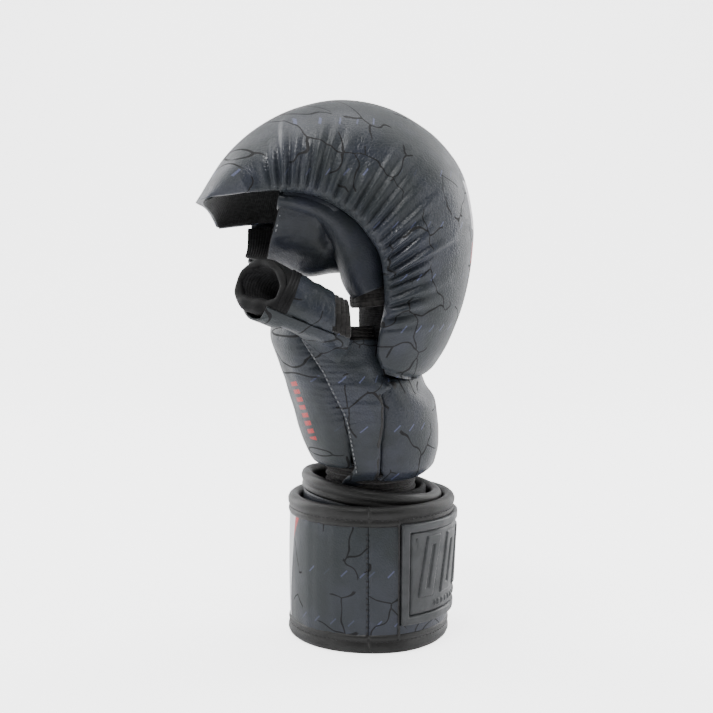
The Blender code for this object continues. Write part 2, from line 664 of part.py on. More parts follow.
def make_thumb():
    """Two leather panels round a foam tube and a lining, a bound tip and an elastic hem."""
    full = spread(0, 360, 17)[:-1]
    half_slit = THUMB_SLIT / 2
    foam_out = LEATHER + BED_GAP
    foam_in = foam_out + THUMB_FOAM
    for name, (low, high) in (("thumb_upper_panel", THUMB_UPPER),
                              ("thumb_lower_panel", THUMB_LOWER)):
        angles = spread(low + half_slit, high - half_slit, 9)
        shell(name, "thumb", PRINTED_LEATHER, thumb_layer(0.0, angles),
              thumb_layer(LEATHER, angles))
    shell("thumb_foam", "thumb", FOAM_GREY, thumb_layer(foam_out, full),
          thumb_layer(foam_in, full), closed_across=True)
    shell("thumb_lining", "thumb", LINING_CLOTH, thumb_layer(foam_in + GAP, full),
          thumb_layer(foam_in + GAP + THUMB_LINING, full), closed_across=True)
    total = foam_in + GAP + THUMB_LINING
    length = (Vector(THUMB_TIP) - Vector(THUMB_BASE)).length
    step = GAP / length
    binding = THUMB_EDGE / length
    shell("thumb_tip_binding", "thumb", BLACK_BINDING,
          thumb_layer(0.0, full, 1 + step, 1 + binding),
          thumb_layer(total, full, 1 + step, 1 + binding), closed_across=True)
    shell("thumb_hem_elastic", "thumb", ELASTIC_BROWN,
          thumb_layer(0.0, full, -step - binding, -step),
          thumb_layer(total, full, -step - binding, -step), closed_across=True)


# ---------------------------------------------------------------- assembly

def centre_over_origin(root):
    """Moves the glove so that the bottom centre of its bounding box is the world origin."""
    bpy.context.view_layer.update()
    corners = [piece.matrix_world @ Vector(corner) for piece in bpy.data.objects
               if piece.type == "MESH" for corner in piece.bound_box]
    low = Vector([min(c[k] for c in corners) for k in range(3)])
    high = Vector([max(c[k] for c in corners) for k in range(3)])
    root.location = Vector((-(low.x + high.x) / 2, -(low.y + high.y) / 2, -low.z))
    bpy.context.view_layer.update()


def main():
    clear_scene()
    add_body("cuff", (0.0, 0.0, 0.0))
    add_body("hand", WRIST_AXIS, "cuff")
    add_body("mitt", KNUCKLE_AXIS, "hand")
    add_body("thumb", THUMB_AXIS, "hand")
    stitch = math.radians(STITCH_ANGLE)
    add_body("strap_end", (OUTER_RX * math.cos(stitch),
                           OUTER_RY * math.sin(stitch) - STRAP_AXIS_OUT, 0.0), "cuff")
    make_cuff()
    make_strap_end()
    make_hand()
    make_mitt()
    make_finger_cover()
    make_finger_sleeves()
    make_thumb()
    centre_over_origin(BODY_EMPTIES["cuff"])
    for name, empty in BODY_EMPTIES.items():
        print("axis of", name, [round(v, 5) for v in empty.matrix_world.translation])


main()
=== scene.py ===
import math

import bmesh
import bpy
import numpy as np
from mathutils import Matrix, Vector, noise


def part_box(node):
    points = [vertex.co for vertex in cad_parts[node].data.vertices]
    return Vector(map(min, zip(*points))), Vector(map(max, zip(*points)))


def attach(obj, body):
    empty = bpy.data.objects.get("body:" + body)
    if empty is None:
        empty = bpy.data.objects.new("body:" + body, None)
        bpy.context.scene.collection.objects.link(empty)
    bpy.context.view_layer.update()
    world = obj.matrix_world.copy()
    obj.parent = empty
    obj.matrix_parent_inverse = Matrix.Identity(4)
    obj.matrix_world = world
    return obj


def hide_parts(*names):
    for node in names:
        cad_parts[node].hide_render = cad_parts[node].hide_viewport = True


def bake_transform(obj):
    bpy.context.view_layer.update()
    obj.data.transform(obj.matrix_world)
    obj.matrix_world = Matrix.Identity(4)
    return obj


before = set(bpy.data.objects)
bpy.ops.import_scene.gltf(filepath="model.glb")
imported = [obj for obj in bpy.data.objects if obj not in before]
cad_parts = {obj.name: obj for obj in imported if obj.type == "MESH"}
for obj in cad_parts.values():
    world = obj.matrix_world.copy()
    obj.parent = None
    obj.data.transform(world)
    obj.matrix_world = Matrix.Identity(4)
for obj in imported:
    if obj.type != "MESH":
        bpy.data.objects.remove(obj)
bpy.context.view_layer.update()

# %% [markdown]
# # A padded sparring glove
#
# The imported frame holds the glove's plain solids and its joints. This lesson dresses them: grained
# and printed leather, pleats, padding, elastic, piping, stitches and a moulded rubber patch.
# Everything is measured from the centre of the cuff, on the floor. There +X is the back of the
# hand, -X the palm, and -Y the thumb side. The cuff's sleeve tells where that centre is.

MM = 0.001
sleeve_low, sleeve_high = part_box("wrist_sleeve")
ORIGIN = np.array(((sleeve_low.x + sleeve_high.x) / 2, (sleeve_low.y + sleeve_high.y) / 2, 0.0))
print("cuff centre in the frame:", ORIGIN.round(4))


# %% [markdown]
# ## Curves and sheets
#
# Sewn pieces are sheets, so one helper turns a grid of points into a mesh and gives it the
# leather's thickness with a Solidify modifier. The grid also carries a UV map in millimetres of
# real surface, so a print keeps its size on every piece. Outlines are smooth curves through a few
# points, because a pattern maker draws them that way.

# %% Smooth curves and tables
def smooth_curve(points, count):
    """Evenly spaced points along a Catmull-Rom curve; points may be 2-D or 3-D rows."""
    p = np.array(points, float)
    p = np.vstack((2 * p[0] - p[1], p, 2 * p[-1] - p[-2]))
    u = np.linspace(0, 1, 24, endpoint=False)[:, None]
    parts = []
    for a, b, c, d in zip(p, p[1:], p[2:], p[3:]):
        parts.append(0.5 * (2 * b + (c - a) * u + (2 * a - 5 * b + 4 * c - d) * u ** 2
                            + (3 * b - a - 3 * c + d) * u ** 3))
    fine = np.vstack(parts + [p[-2:-1]])
    length = np.concatenate(([0.0], np.cumsum(np.linalg.norm(np.diff(fine, axis=0), axis=1))))
    even = np.linspace(0, length[-1], count)
    return np.stack([np.interp(even, length, fine[:, k]) for k in range(fine.shape[1])], axis=1)


def read(table, value, column=1):
    """Reads a table of rows along its first column, with straight lines between rows."""
    rows = np.array(table, float)
    return np.interp(value, rows[:, 0], rows[:, column])


def ease(value):
    value = np.clip(value, 0.0, 1.0)
    return value * value * (3 - 2 * value)


def power(value, exponent):
    return np.sign(value) * np.abs(value) ** exponent


def soft_noise(places, scale, seed=0.0, octaves=2):
    """Smooth noise from about -1 to 1 at each place; scale is bumps per metre."""
    flat = np.asarray(places, float).reshape(-1, 3) * scale + seed
    values = [noise.fractal(Vector(p), 0.6, 2.0, octaves) for p in flat]
    return np.array(values).reshape(np.shape(places)[:-1])


# %% Grids to meshes
def grid_normals(points):
    """Unit normals of a grid of points, from its rows crossed with its columns."""
    n = np.cross(np.gradient(points, axis=0), np.gradient(points, axis=1))
    return n / np.maximum(np.linalg.norm(n, axis=2, keepdims=True), 1e-12)


def grid_object(name, points, material, closed=False, thickness=0.0, flip=False):
    """A grid of points in the glove's frame as a smooth mesh, with a UV map in metres."""
    rows, across = points.shape[:2]
    world = (points + ORIGIN).reshape(-1, 3)
    columns = across if closed else across - 1
    i, j = np.meshgrid(np.arange(rows - 1), np.arange(columns), indexing="ij")
    k = (j + 1) % across
    faces = np.stack((i * across + j, i * across + k, (i + 1) * across + k, (i + 1) * across + j),
                     axis=-1).reshape(-1, 4)
    if flip:
        faces = faces[:, ::-1]
    mesh = bpy.data.meshes.new(name)
    mesh.from_pydata(world.tolist(), [], faces.tolist())
    mesh.shade_smooth()
    down = np.concatenate((np.zeros((1, across)),
                           np.cumsum(np.linalg.norm(np.diff(points, axis=0), axis=2), axis=0)))
    wrapped = np.concatenate((points, points[:, :1]), axis=1) if closed else points
    right = np.concatenate((np.zeros((rows, 1)),
                            np.cumsum(np.linalg.norm(np.diff(wrapped, axis=1), axis=2), axis=1)),
                           axis=1)
    u = np.repeat(down.mean(axis=1)[:, None], right.shape[1], axis=1)
    v = np.repeat(right.mean(axis=0)[None, :], rows, axis=0)
    corners = []
    for a, b in ((i, j), (i, j + 1), (i + 1, j + 1), (i + 1, j)):
        corners.append(np.stack((u[a, b], v[a, b]), axis=-1).reshape(-1, 2))
    order = corners[::-1] if flip else corners
    uv = mesh.uv_layers.new(name="Surface")
    uv.data.foreach_set("uv", np.stack(order, axis=1).astype(np.float32).ravel())
    mesh.materials.append(material)
    made = bpy.data.objects.new(name, mesh)
    bpy.context.scene.collection.objects.link(made)
    if thickness:
        solid = made.modifiers.new("Thickness", "SOLIDIFY")
        solid.thickness = thickness
        solid.offset = -1.0
        solid.use_even_offset = False
    return made


def tube_object(name, path, radius, material, sides=14, closed=False, up=(0, 0, 1)):
    """A round bar along a path. radius may be one number or one for each point."""
    path = np.asarray(path, float)
    if closed:
        along = np.roll(path, -1, axis=0) - np.roll(path, 1, axis=0)
    else:
        along = np.gradient(path, axis=0)
    along /= np.linalg.norm(along, axis=1, keepdims=True)
    side = np.cross(along, np.array(up, float))
    side /= np.linalg.norm(side, axis=1, keepdims=True)
    top = np.cross(side, along)
    radius = np.broadcast_to(radius, (len(path),))[:, None, None]
    turn = np.linspace(0, 2 * math.pi, sides, endpoint=False)[None, :, None]
    points = path[:, None] + radius * (side[:, None] * np.cos(turn) + top[:, None] * np.sin(turn))
    if closed:
        points = np.concatenate((points, points[:1]))
    made = grid_object(name, points, material, closed=True, flip=True)
    if closed:
        weld = made.modifiers.new("Join", "WELD")
        weld.merge_threshold = 0.00001
    else:
        cap_ends(made, len(points), sides)
    return made


def cap_ends(made, rows, sides):
    """Closes the two ends of an open tube with one flat face each."""
    mesh = made.data
    faces = [list(f.vertices) for f in mesh.polygons]
    places = [v.co[:] for v in mesh.vertices]
    faces.append([(rows - 1) * sides + k for k in range(sides)][::-1])
    faces.append(list(range(sides)))
    material = mesh.materials[0]
    capped = bpy.data.meshes.new(mesh.name)
    capped.from_pydata(places, [], faces)
    capped.shade_smooth()
    capped.materials.append(material)
    made.data = capped


print("helpers ready")


# %% [markdown]
# ## Finishes
#
# Leather, elastic and textile share a few effects: grain, an outline print, small dashes, ribs.
# Each effect is one node group that is built once, so every material that places it can give it
# its own scale. The groups put out masks and heights only; each material keeps its own Principled
# shader, with its plain numbers set on the shader's sockets.

# %% Node helpers
SOCKETS = {"float": "NodeSocketFloat", "vector": "NodeSocketVector", "color": "NodeSocketColor"}


def add_node(tree, kind, inputs=(), **settings):
    """Adds a node, sets its options, and links or sets its inputs by name or number."""
    made = tree.nodes.new(kind)
    for name, value in settings.items():
        setattr(made, name, value)
    for name, value in dict(inputs).items():
        if isinstance(value, bpy.types.NodeSocket):
            tree.links.new(value, made.inputs[name])
        else:
            made.inputs[name].default_value = value
    return made


def calculate(tree, operation, first, second=0.0, third=0.0):
    values = {0: first, 1: second, 2: third}
    return add_node(tree, "ShaderNodeMath", values, operation=operation).outputs[0]


def ramp(tree, value, low, high, start=0.0, end=1.0):
    """Runs smoothly from start to end as the value goes from low to high."""
    inputs = {"Value": value, "From Min": low, "From Max": high, "To Min": start, "To Max": end}
    made = add_node(tree, "ShaderNodeMapRange", inputs, interpolation_type="SMOOTHSTEP")
    return made.outputs["Result"]


def noise_node(tree, vector, scale, detail=2.0, rough=0.5, warp=0.0):
    inputs = {"Vector": vector, "Scale": scale, "Detail": detail, "Roughness": rough,
              "Distortion": warp}
    return add_node(tree, "ShaderNodeTexNoise", inputs)


def mix_colors(tree, factor, first, second):
    made = add_node(tree, "ShaderNodeMix", data_type="RGBA")
    for socket, value in ((0, factor), (6, first), (7, second)):
        if isinstance(value, bpy.types.NodeSocket):
            tree.links.new(value, made.inputs[socket])
        else:
            made.inputs[socket].default_value = value
    return made.outputs[2]


def new_group(name, inputs, outputs):
    """An empty node group with named sockets. inputs: name -> (kind, default value)."""
    group = bpy.data.node_groups.new(name, "ShaderNodeTree")
    for label, (kind, value) in inputs.items():
        socket = group.interface.new_socket(name=label, in_out="INPUT", socket_type=SOCKETS[kind])
        if value is not None:
            socket.default_value = value
    for label, kind in outputs.items():
        group.interface.new_socket(name=label, in_out="OUTPUT", socket_type=SOCKETS[kind])
    start = group.nodes.new("NodeGroupInput")
    end = group.nodes.new("NodeGroupOutput")
    return group, start.outputs, end.inputs


def use_group(tree, group, inputs):
    made = tree.nodes.new("ShaderNodeGroup")
    made.node_tree = group
    for name, value in inputs.items():
        if isinstance(value, bpy.types.NodeSocket):
            tree.links.new(value, made.inputs[name])
        else:
            made.inputs[name].default_value = value
    return made.outputs


# %% [markdown]
# ### Grain, outlines and dashes
#
# Cowhide grain is a net of shallow creases, so it comes from the distance to the edges of small
# cells, softened by noise. The printed outlines are thin ink lines of one width: they are the
# edges of larger cells, bent by noise, and a slow noise hides part of them so they stay open. The
# dashes stand in rows, so a repeating cell holds one slanted stroke, and a random number drops
# some of them.

# %% Leather grain group
def make_grain_group():
    group, given, result = new_group(
        "Leather grain", {"Vector": ("vector", None), "Scale": ("float", 650.0)},
        {"Height": "float", "Tone": "float"})
    cells = add_node(group, "ShaderNodeTexVoronoi",
                     {"Vector": given["Vector"], "Scale": given["Scale"], "Randomness": 1.0},
                     feature="DISTANCE_TO_EDGE")
    crease = ramp(group, cells.outputs["Distance"], 0.0, 0.16)
    fold_scale = calculate(group, "MULTIPLY", given["Scale"], 0.35)
    folds = noise_node(group, given["Vector"], fold_scale, 4.0, 0.6, 0.6)
    height = calculate(group, "MULTIPLY_ADD", folds.outputs["Fac"], 0.9,
                       calculate(group, "MULTIPLY", crease, 0.5))
    group.links.new(height, result["Height"])
    cloud = noise_node(group, given["Vector"], 28.0, 3.0, 0.55)
    group.links.new(ramp(group, cloud.outputs["Fac"], 0.38, 0.66), result["Tone"])
    return group


def make_outline_group():
    group, given, result = new_group(
        "Outline print", {"Vector": ("vector", None), "Scale": ("float", 58.0),
                          "Width": ("float", 0.00038)},
        {"Line": "float", "Shape": "float"})
    wander = noise_node(group, given["Vector"], 110.0, 0.0, 0.5)
    shifted = add_node(group, "ShaderNodeVectorMath",
                       {0: wander.outputs["Color"], 1: (0.008, 0.008, 0.008)},
                       operation="MULTIPLY")
    moved = add_node(group, "ShaderNodeVectorMath",
                     {0: given["Vector"], 1: shifted.outputs[0]}, operation="ADD").outputs[0]
    cells = add_node(group, "ShaderNodeTexVoronoi", {"Vector": moved, "Scale": given["Scale"]},
                     voronoi_dimensions="2D", feature="DISTANCE_TO_EDGE").outputs["Distance"]
    wide = calculate(group, "MULTIPLY", given["Width"], given["Scale"])
    line = calculate(group, "LESS_THAN", cells, wide)
    broken = noise_node(group, moved, 40.0, 1.0).outputs["Fac"]
    keep = ramp(group, broken, 0.485, 0.50)
    group.links.new(calculate(group, "MULTIPLY", line, keep), result["Line"])
    field = noise_node(group, moved, 24.0, 1.0).outputs["Fac"]
    group.links.new(ramp(group, field, 0.49, 0.505), result["Shape"])
    return group


def make_dash_group():
    group, given, result = new_group(
        "Dash print", {"Vector": ("vector", None), "Across": ("float", 0.0092),
                       "Down": ("float", 0.0240), "Length": ("float", 0.0022)},
        {"Dash": "float"})
    split = add_node(group, "ShaderNodeSeparateXYZ", {0: given["Vector"]})
    row = calculate(group, "DIVIDE", split.outputs["Y"], given["Down"])
    stagger = calculate(group, "MULTIPLY", calculate(group, "FLOOR", row), 0.37)
    column = calculate(group, "ADD",
                       calculate(group, "DIVIDE", split.outputs["X"], given["Across"]), stagger)
    parts = []
    for place, size in ((column, given["Across"]), (row, given["Down"])):
        middle = calculate(group, "SUBTRACT", calculate(group, "FRACT", place), 0.5)
        parts.append(calculate(group, "MULTIPLY", middle, size))
    along = calculate(group, "ABSOLUTE", calculate(group, "ADD", parts[0], parts[1]))
    across = calculate(group, "ABSOLUTE", calculate(group, "SUBTRACT", parts[0], parts[1]))
    longer = calculate(group, "MULTIPLY", given["Length"], 1.4)
    inside = calculate(group, "MULTIPLY", calculate(group, "LESS_THAN", along, longer),
                       ramp(group, across, 0.00035, 0.00062, 1.0, 0.0))
    cell = add_node(group, "ShaderNodeCombineXYZ",
                    {0: calculate(group, "FLOOR", column), 1: calculate(group, "FLOOR", row)})
    chance = add_node(group, "ShaderNodeTexWhiteNoise", {"Vector": cell.outputs[0]})
    kept = ramp(group, chance.outputs["Value"], 0.15, 0.75)
    group.links.new(calculate(group, "MULTIPLY", inside, kept), result["Dash"])
    return group


def make_rib_group():
    """Ribs of an elastic or a knit: waves along one axis, broken up by finer ones across it."""
    group, given, result = new_group(
        "Ribs", {"Vector": ("vector", None), "Ribs": ("float", 900.0), "Yarn": ("float", 2200.0)},
        {"Height": "float", "Tone": "float"})
    split = add_node(group, "ShaderNodeSeparateXYZ", {0: given["Vector"]})
    rib = calculate(group, "SINE", calculate(group, "MULTIPLY", split.outputs["X"], given["Ribs"]))
    yarn = calculate(group, "SINE", calculate(group, "MULTIPLY", split.outputs["Y"],
                                              given["Yarn"]))
    woven = calculate(group, "MULTIPLY_ADD", yarn, 0.35, rib)
    group.links.new(ramp(group, woven, -1.3, 1.3), result["Height"])
    fuzz = noise_node(group, given["Vector"], 500.0, 3.0, 0.7)
    group.links.new(ramp(group, fuzz.outputs["Fac"], 0.3, 0.7), result["Tone"])
    return group


GRAIN = make_grain_group()
OUTLINE = make_outline_group()
DASH = make_dash_group()
RIB = make_rib_group()
print("node groups:", [g.name for g in (GRAIN, OUTLINE, DASH, RIB)])


# %% [markdown]
# ### The leathers
#
# The printed hide is a dark slate grey that drifts towards blue, with near-black outlines and
# pale violet dashes over it. It is a finished leather, so it has a soft sheen: roughness near
# 0.4 that varies with the same slow cloud as the colour. The smooth leather is the same hide
# without the print.

# %% Leather materials
def start_material(name, roughness, specular=0.5, coat=0.0, sheen=0.0):
    material = bpy.data.materials.new(name)
    material.use_nodes = True
    tree = material.node_tree
    shader = tree.nodes["Principled BSDF"]
    shader.inputs["Roughness"].default_value = roughness
    shader.inputs["Specular IOR Level"].default_value = specular
    shader.inputs["Coat Weight"].default_value = coat
    shader.inputs["Coat Roughness"].default_value = 0.3
    shader.inputs["Sheen Weight"].default_value = sheen
    places = tree.nodes.new("ShaderNodeTexCoord")
    return material, tree, shader, places.outputs


def add_bump(tree, shader, height, strength, distance):
    bump = add_node(tree, "ShaderNodeBump",
                    {"Height": height, "Strength": strength, "Distance": distance})
    tree.links.new(bump.outputs["Normal"], shader.inputs["Normal"])


SLATE = (0.0185, 0.0235, 0.0265, 1.0)
SLATE_BLUE = (0.031, 0.0355, 0.050, 1.0)
INK = (0.0022, 0.0022, 0.0028, 1.0)
DASH_VIOLET = (0.105, 0.120, 0.230, 1.0)
MARK_WHITE = (0.62, 0.62, 0.64, 1.0)
MARK_RED = (0.42, 0.012, 0.014, 1.0)


def print_places(tree, places, on_uv):
    """The strap's print follows its own surface; elsewhere it is laid on from the side."""
    if on_uv:
        return places["UV"]
    split = add_node(tree, "ShaderNodeSeparateXYZ", {0: places["Object"]})
    right = calculate(tree, "MULTIPLY_ADD", split.outputs["Y"], 0.7, split.outputs["X"])
    return add_node(tree, "ShaderNodeCombineXYZ", {0: right, 1: split.outputs["Z"]}).outputs[0]


def leather(name, printed=True, grain=650.0, dark=SLATE, light=SLATE_BLUE, bump=0.30,
            roughness=(0.30, 0.44), marks=None, on_uv=False, shine=0.36):
    """Printed or smooth leather. marks adds generic painted stripes: a function of the tree."""
    material, tree, shader, places = start_material(name, 0.42, specular=shine)
    grained = use_group(tree, GRAIN, {"Vector": places["Object"], "Scale": grain})
    color = mix_colors(tree, grained["Tone"], dark, light)
    if printed:
        laid_on = print_places(tree, places, on_uv)
        lines = use_group(tree, OUTLINE, {"Vector": laid_on})
        shade = calculate(tree, "MULTIPLY", lines["Shape"], 0.35)
        color = mix_colors(tree, shade, color, dark)
        dashes = use_group(tree, DASH, {"Vector": laid_on})
        strength = calculate(tree, "MULTIPLY", dashes["Dash"], 0.6)
        color = mix_colors(tree, strength, color, DASH_VIOLET)
        color = mix_colors(tree, calculate(tree, "MULTIPLY", lines["Line"], 0.95), color, INK)
    if marks:
        color = marks(tree, places, color)
    tree.links.new(color, shader.inputs["Base Color"])
    dull = ramp(tree, grained["Tone"], 0.0, 1.0, roughness[1], roughness[0])
    if printed:
        dull = calculate(tree, "MULTIPLY_ADD", lines["Line"], 0.35, dull)
    tree.links.new(dull, shader.inputs["Roughness"])
    add_bump(tree, shader, grained["Height"], bump, 0.0006)
    return material


def stripe(tree, places, color, axis, low, high, across, limit, paint, slant=0.0):
    """One painted band between low and high along an axis, within a limit on another axis."""
    split = add_node(tree, "ShaderNodeSeparateXYZ", {0: places["Object"]})
    side = calculate(tree, "SUBTRACT", split.outputs[across], ORIGIN["XYZ".index(across)])
    along = calculate(tree, "MULTIPLY_ADD", side, slant, split.outputs[axis])
    band = calculate(tree, "MULTIPLY", calculate(tree, "GREATER_THAN", along, low),
                     calculate(tree, "LESS_THAN", along, high))
    held = calculate(tree, "LESS_THAN", calculate(tree, "ABSOLUTE", side), limit)
    return mix_colors(tree, calculate(tree, "MULTIPLY", band, held), color, paint)


def hood_marks(tree, places, color):
    """A white and a red slanted band on the back of the mitt."""
    behind = add_node(tree, "ShaderNodeSeparateXYZ", {0: places["Object"]})
    back = calculate(tree, "GREATER_THAN", behind.outputs["X"], float(ORIGIN[0]) + 0.030)
    marked = stripe(tree, places, color, "Z", 0.200, 0.223, "Y", 0.021, MARK_WHITE, 0.12)
    marked = stripe(tree, places, marked, "Z", 0.184, 0.194, "Y", 0.018, MARK_RED, 0.12)
    return mix_colors(tree, back, color, marked)


def strap_marks(tree, places, color):
    """A red wedge over a white band on the palm side of the strap."""
    split = add_node(tree, "ShaderNodeSeparateXYZ", {0: places["Object"]})
    front = calculate(tree, "LESS_THAN", split.outputs["X"], float(ORIGIN[0]) - 0.025)
    side = calculate(tree, "ABSOLUTE", calculate(tree, "SUBTRACT", split.outputs["Y"],
                                                 float(ORIGIN[1])))
    wedge = calculate(tree, "MULTIPLY_ADD", split.outputs["Z"], 0.5, -0.0095)
    red = calculate(tree, "LESS_THAN", side, wedge)
    low = calculate(tree, "MULTIPLY_ADD", split.outputs["Z"], 0.16, 0.0075)
    white = calculate(tree, "LESS_THAN", side, low)
    marked = mix_colors(tree, red, color, MARK_RED)
    marked = mix_colors(tree, white, marked, MARK_WHITE)
    return mix_colors(tree, front, color, marked)


def palm_marks(tree, places, color):
    """A short column of red bars on the palm."""
    split = add_node(tree, "ShaderNodeSeparateXYZ", {0: places["Object"]})
    height = split.outputs["Z"]
    centre = calculate(tree, "MULTIPLY_ADD", height, -0.34, float(ORIGIN[0]) + 0.0056)
    across = calculate(tree, "ABSOLUTE", calculate(tree, "SUBTRACT", split.outputs["X"], centre))
    inside = calculate(tree, "LESS_THAN", across, 0.0017)
    near = calculate(tree, "LESS_THAN", split.outputs["Y"], float(ORIGIN[1]) - 0.01)
    rhythm = calculate(tree, "FRACT", calculate(tree, "MULTIPLY_ADD", split.outputs["X"], -90.0,
                                          calculate(tree, "MULTIPLY", height, 230.0)))
    bars = calculate(tree, "LESS_THAN", rhythm, 0.55)
    span = calculate(tree, "MULTIPLY", calculate(tree, "GREATER_THAN", height, 0.101),
                     calculate(tree, "LESS_THAN", height, 0.130))
    mask = calculate(tree, "MULTIPLY", calculate(tree, "MULTIPLY", inside, near),
                     calculate(tree, "MULTIPLY", bars, span))
    return mix_colors(tree, mask, color, MARK_RED)


PRINTED = leather("printed_leather")
HOOD_LEATHER = leather("hood_leather", marks=hood_marks)
STRAP_LEATHER = leather("strap_leather", marks=strap_marks, bump=0.18, on_uv=True)
PALM_LEATHER = leather("palm_leather", marks=palm_marks)
SMOOTH = leather("smooth_leather", printed=False, dark=(0.0165, 0.0205, 0.0235, 1.0),
                 light=(0.0255, 0.029, 0.041, 1.0), bump=0.22)
BINDING = leather("binding_leather", printed=False, grain=900.0, dark=(0.011, 0.011, 0.0105, 1.0),
                  light=(0.019, 0.019, 0.0185, 1.0), bump=0.20, roughness=(0.36, 0.50))
DARK_BINDING = leather("dark_binding", printed=False, grain=900.0,
                       dark=(0.0045, 0.0045, 0.0048, 1.0), light=(0.0085, 0.0085, 0.009, 1.0),
                       bump=0.20, roughness=(0.50, 0.66), shine=0.2)
print("leathers ready")


# %% [markdown]
# ### Textile, elastic, rubber and thread
#
# The lining is a matte knit, so it gets a little sheen and a fine rib. The elastics are the same
# idea at a larger scale and in a warm black. The patch is moulded rubber: almost even, with a
# faint mottling. Thread is a twisted yarn; a short wave along it is enough at this size.

# %% Cloth, rubber and thread materials
def ribbed_cloth(name, dark, light, ribs, yarn, bump, sheen=0.15):
    material, tree, shader, places = start_material(name, 0.85, specular=0.3, sheen=sheen)
    shader.inputs["Sheen Roughness"].default_value = 0.5
    woven = use_group(tree, RIB, {"Vector": places["UV"], "Ribs": ribs, "Yarn": yarn})
    tree.links.new(mix_colors(tree, woven["Tone"], dark, light), shader.inputs["Base Color"])
    tree.links.new(ramp(tree, woven["Tone"], 0.0, 1.0, 0.92, 0.75), shader.inputs["Roughness"])
    add_bump(tree, shader, woven["Height"], bump, 0.0004)
    return material


def mottled(name, dark, light, roughness, scale=120.0, bump=0.1, specular=0.5):
    material, tree, shader, places = start_material(name, roughness, specular=specular)
    cloud = noise_node(tree, places["Object"], scale, 5.0, 0.6)
    tone = ramp(tree, cloud.outputs["Fac"], 0.35, 0.65)
    tree.links.new(mix_colors(tree, tone, dark, light), shader.inputs["Base Color"])
    tree.links.new(ramp(tree, tone, 0.0, 1.0, roughness + 0.06, roughness - 0.06),
                   shader.inputs["Roughness"])
    fine = noise_node(tree, places["Object"], scale * 12, 3.0, 0.6)
    add_bump(tree, shader, fine.outputs["Fac"], bump, 0.0003)
    return material


LINING = ribbed_cloth("lining_knit", (0.0055, 0.0055, 0.006, 1.0), (0.011, 0.011, 0.012, 1.0),
                      6000.0, 9000.0, 0.35, 0.04)
VISOR_KNIT = ribbed_cloth("visor_knit", (0.012, 0.0125, 0.0125, 1.0), (0.022, 0.023, 0.023, 1.0),
                          6000.0, 9000.0, 0.35)
ELASTIC = ribbed_cloth("gathered_elastic", (0.0075, 0.007, 0.0065, 1.0),
                       (0.0185, 0.017, 0.0158, 1.0), 5200.0, 2600.0, 0.5)
PATCH_RUBBER = mottled("patch_rubber", (0.024, 0.027, 0.029, 1.0),
                       (0.034, 0.037, 0.040, 1.0), 0.42)
PALE_THREAD = mottled("pale_thread", (0.14, 0.145, 0.15, 1.0), (0.30, 0.31, 0.32, 1.0), 0.6, 900.0)
BLACK_THREAD = mottled("black_thread", (0.004, 0.004, 0.004, 1.0), (0.012, 0.012, 0.012, 1.0),
                       0.55, 900.0)
TAPE = mottled("hook_and_loop_tape", (0.006, 0.006, 0.006, 1.0), (0.016, 0.016, 0.016, 1.0), 0.9,
               900.0, 0.6)
print("cloth, rubber and thread ready")


# %% [markdown]
# ## Cuff and strap
#
# The cuff is one long strap that goes twice round the wrist. A strap is a sandwich: printed
# leather outside, a thin foam, and a lining inside. Its long edges are bound with soft black
# leather that is filled with a cord, so the edge is round and a narrow skirt with a stitched
# groove lies against the strap. All of it has one cross-section that follows the cuff, so it is
# swept: a closed outline is carried round an ellipse.

# %% A sweep round the cuff
STRAP_Z = 68.0 * MM          # middle of the outer turn's top piping
STRAP_HALF = 1.8 * MM
OUTER_R = (39.3 * MM, 41.6 * MM)
INNER_R = (32.8 * MM, 35.1 * MM)
STITCH_TURN, END_TURN, FIXED_TURN = -93.0, 68.0, 73.0


def settle(points):
    """The strap is wound a little tighter towards the floor on the back of the hand."""
    tight = 0.025 + 0.075 * np.clip(1.0 - points[..., 2] / STRAP_Z, 0.0, 1.0)
    points[..., 0] *= 1.0 - tight * ease(points[..., 0] / (30.0 * MM))
    return points


def sweep_cuff(name, body, radii, angles, outline, material, tilt=0.0, wave=0.0):
    """Carries a closed outline of (out, up) points in millimetres round the cuff's ellipse."""
    turn = np.radians(np.asarray(angles, float))[:, None]
    shape = np.array(outline, float) * MM
    out = np.broadcast_to(shape[None, :, 0], (len(turn), len(shape))).copy()
    lean = tilt * np.clip(shape[None, :, 1] / (75.0 * MM), 0.0, 1.0)
    lift = shape[None, :, 1] - lean * np.cos(turn)
    if wave:
        guide = np.stack((np.cos(turn[:, 0]), np.sin(turn[:, 0]), turn[:, 0] * 0 + radii[0]), -1)
        out += wave * soft_noise(guide, 6.0, len(name))[:, None]
    points = np.stack(((radii[0] + out) * np.cos(turn), (radii[1] + out) * np.sin(turn), lift), -1)
    full = abs(angles[-1] - angles[0]) > 359.9
    made = grid_object(name, settle(points), material, closed=True)
    if full:
        weld = made.modifiers.new("Join", "WELD")
        weld.merge_threshold = 0.00001
    else:
        close_ends(made, len(points), len(shape))
    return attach(made, body)


def close_ends(made, rows, across):
    """Caps both ends of a swept outline and keeps the mesh's own UV map."""
    mesh = bmesh.new()
    mesh.from_mesh(made.data)
    mesh.verts.ensure_lookup_table()
    mesh.faces.new([mesh.verts[k] for k in range(across)])
    mesh.faces.new([mesh.verts[(rows - 1) * across + k] for k in range(across)][::-1])
    bmesh.ops.recalc_face_normals(mesh, faces=mesh.faces)
    mesh.to_mesh(made.data)
    mesh.free()


def strap_outline(low, high, bulge):
    """Outline of the strap's sandwich in millimetres, its outer face a little crowned."""
    heights = np.linspace(low, high, 26)
    share = (heights - low) / (high - low)
    crown = 1.8 + bulge * np.sin(math.pi * share) ** 0.5
    outer = [(c, z) for c, z in zip(crown, heights)]
    inner = [(-1.8, z) for z in heights[::-4]]
    return outer + inner


